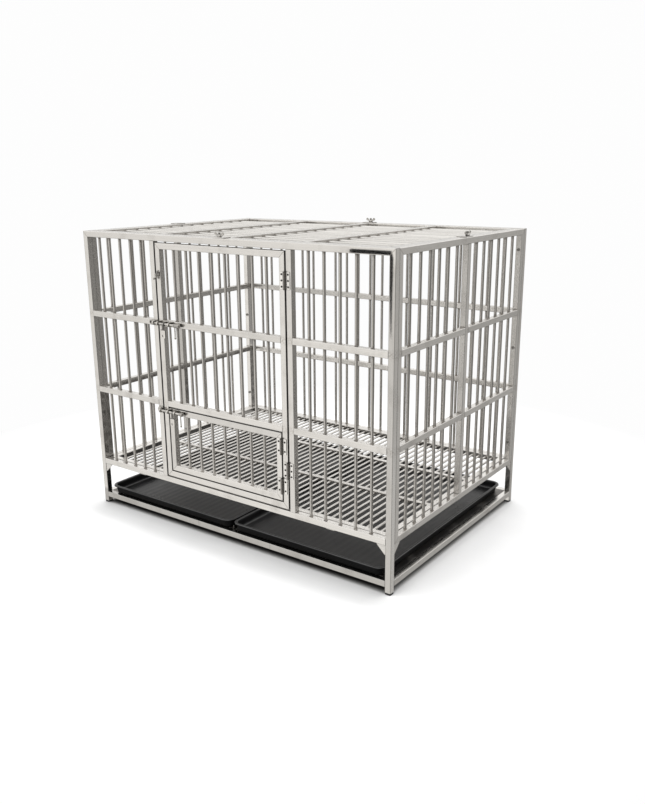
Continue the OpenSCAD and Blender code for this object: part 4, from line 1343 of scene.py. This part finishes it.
def build_floor():
    material = floor_material()
    mesh = bmesh.new()
    bmesh.ops.create_grid(mesh, x_segments=1, y_segments=1, size=30.0)
    floor = stage_object("floor", mesh)
    floor.location = (0, 0, -0.4 * MM)
    floor.data.materials.append(material)


def area_light(name, location, target, size, power):
    """A square light aimed at target that polished metal doesn't mirror."""
    light = bpy.data.lights.new(name, "AREA")
    light.shape = "RECTANGLE"
    light.size = light.size_y = size
    light.energy = power
    obj = bpy.data.objects.new(name, light)
    scene.collection.objects.link(obj)
    obj.location = location
    obj.rotation_mode = "QUATERNION"
    obj.rotation_quaternion = (Vector(target) - Vector(location)).to_track_quat("-Z", "Y")
    obj.visible_glossy = False


# outline of the flag: x, z
FLAG_OUTLINE = [(0.150, 0.921), (0.300, 0.9225), (0.3035, 0.905), (0.3055, 0.800),
                (0.3125, 0.640), (0.3150, 0.640), (0.3165, 0.780), (0.3185, 0.915),
                (0.311, 0.9375), (0.150, 0.9375), (0.1435, 0.934), (0.1435, 0.925)]


def build_flag():
    """A black flag in front of the cage, seen only as a reflection in the polished corner."""
    mesh = bmesh.new()
    mesh.faces.new([mesh.verts.new((x, FRONT - 0.5, z)) for x, z in FLAG_OUTLINE])
    flag = stage_object("flag", mesh)
    material, tree = new_material("flag_black")
    black = tree.node("ShaderNodeEmission", {"Color": (0.012, 0.012, 0.013, 1)})
    tree.output(black.outputs[0])
    flag.data.materials.append(material)
    flag.visible_camera = False
    flag.visible_diffuse = False
    flag.visible_shadow = False
    flag.visible_transmission = False


def build_camera():
    """yaw turns the view from +Y toward +X, pitch tips it down and roll turns it on its axis."""
    data = bpy.data.cameras.new("camera")
    camera = bpy.data.objects.new("camera", data)
    scene.collection.objects.link(camera)
    yaw, pitch, roll = (math.radians(a) for a in (-35.65275685, 15.59758504, -0.38094671))
    forward = Vector((math.sin(yaw) * math.cos(pitch), math.cos(yaw) * math.cos(pitch),
                      -math.sin(pitch)))
    level = Vector((math.cos(yaw), -math.sin(yaw), 0))
    upright = level.cross(forward)
    right = level * math.cos(roll) + upright * math.sin(roll)
    up = upright * math.cos(roll) - level * math.sin(roll)
    location = (1.7204256, -2.281167 + MIDDLE_Y, 1.19784008)
    matrix = Matrix.Identity(4)
    for k in range(3):
        matrix[k] = (right[k], up[k], -forward[k], location[k])
    camera.matrix_world = matrix
    data.sensor_width = 36.0
    data.lens = 36.6321045
    data.shift_x = -0.0032791045
    data.shift_y = -0.0052177861
    data.clip_start, data.clip_end = 0.05, 200.0
    scene.camera = camera


build_world()
build_floor()
area_light("key", location=(-1.6, -2.4, 4.0), target=(0, 0, 0.2), size=3.0, power=66)
area_light("top", location=(0.1, 0.1, 3.4), target=(0, 0, 0.0), size=3.4, power=80)
build_flag()
build_camera()
scene.view_settings.view_transform = "Standard"
scene.view_settings.look = "None"
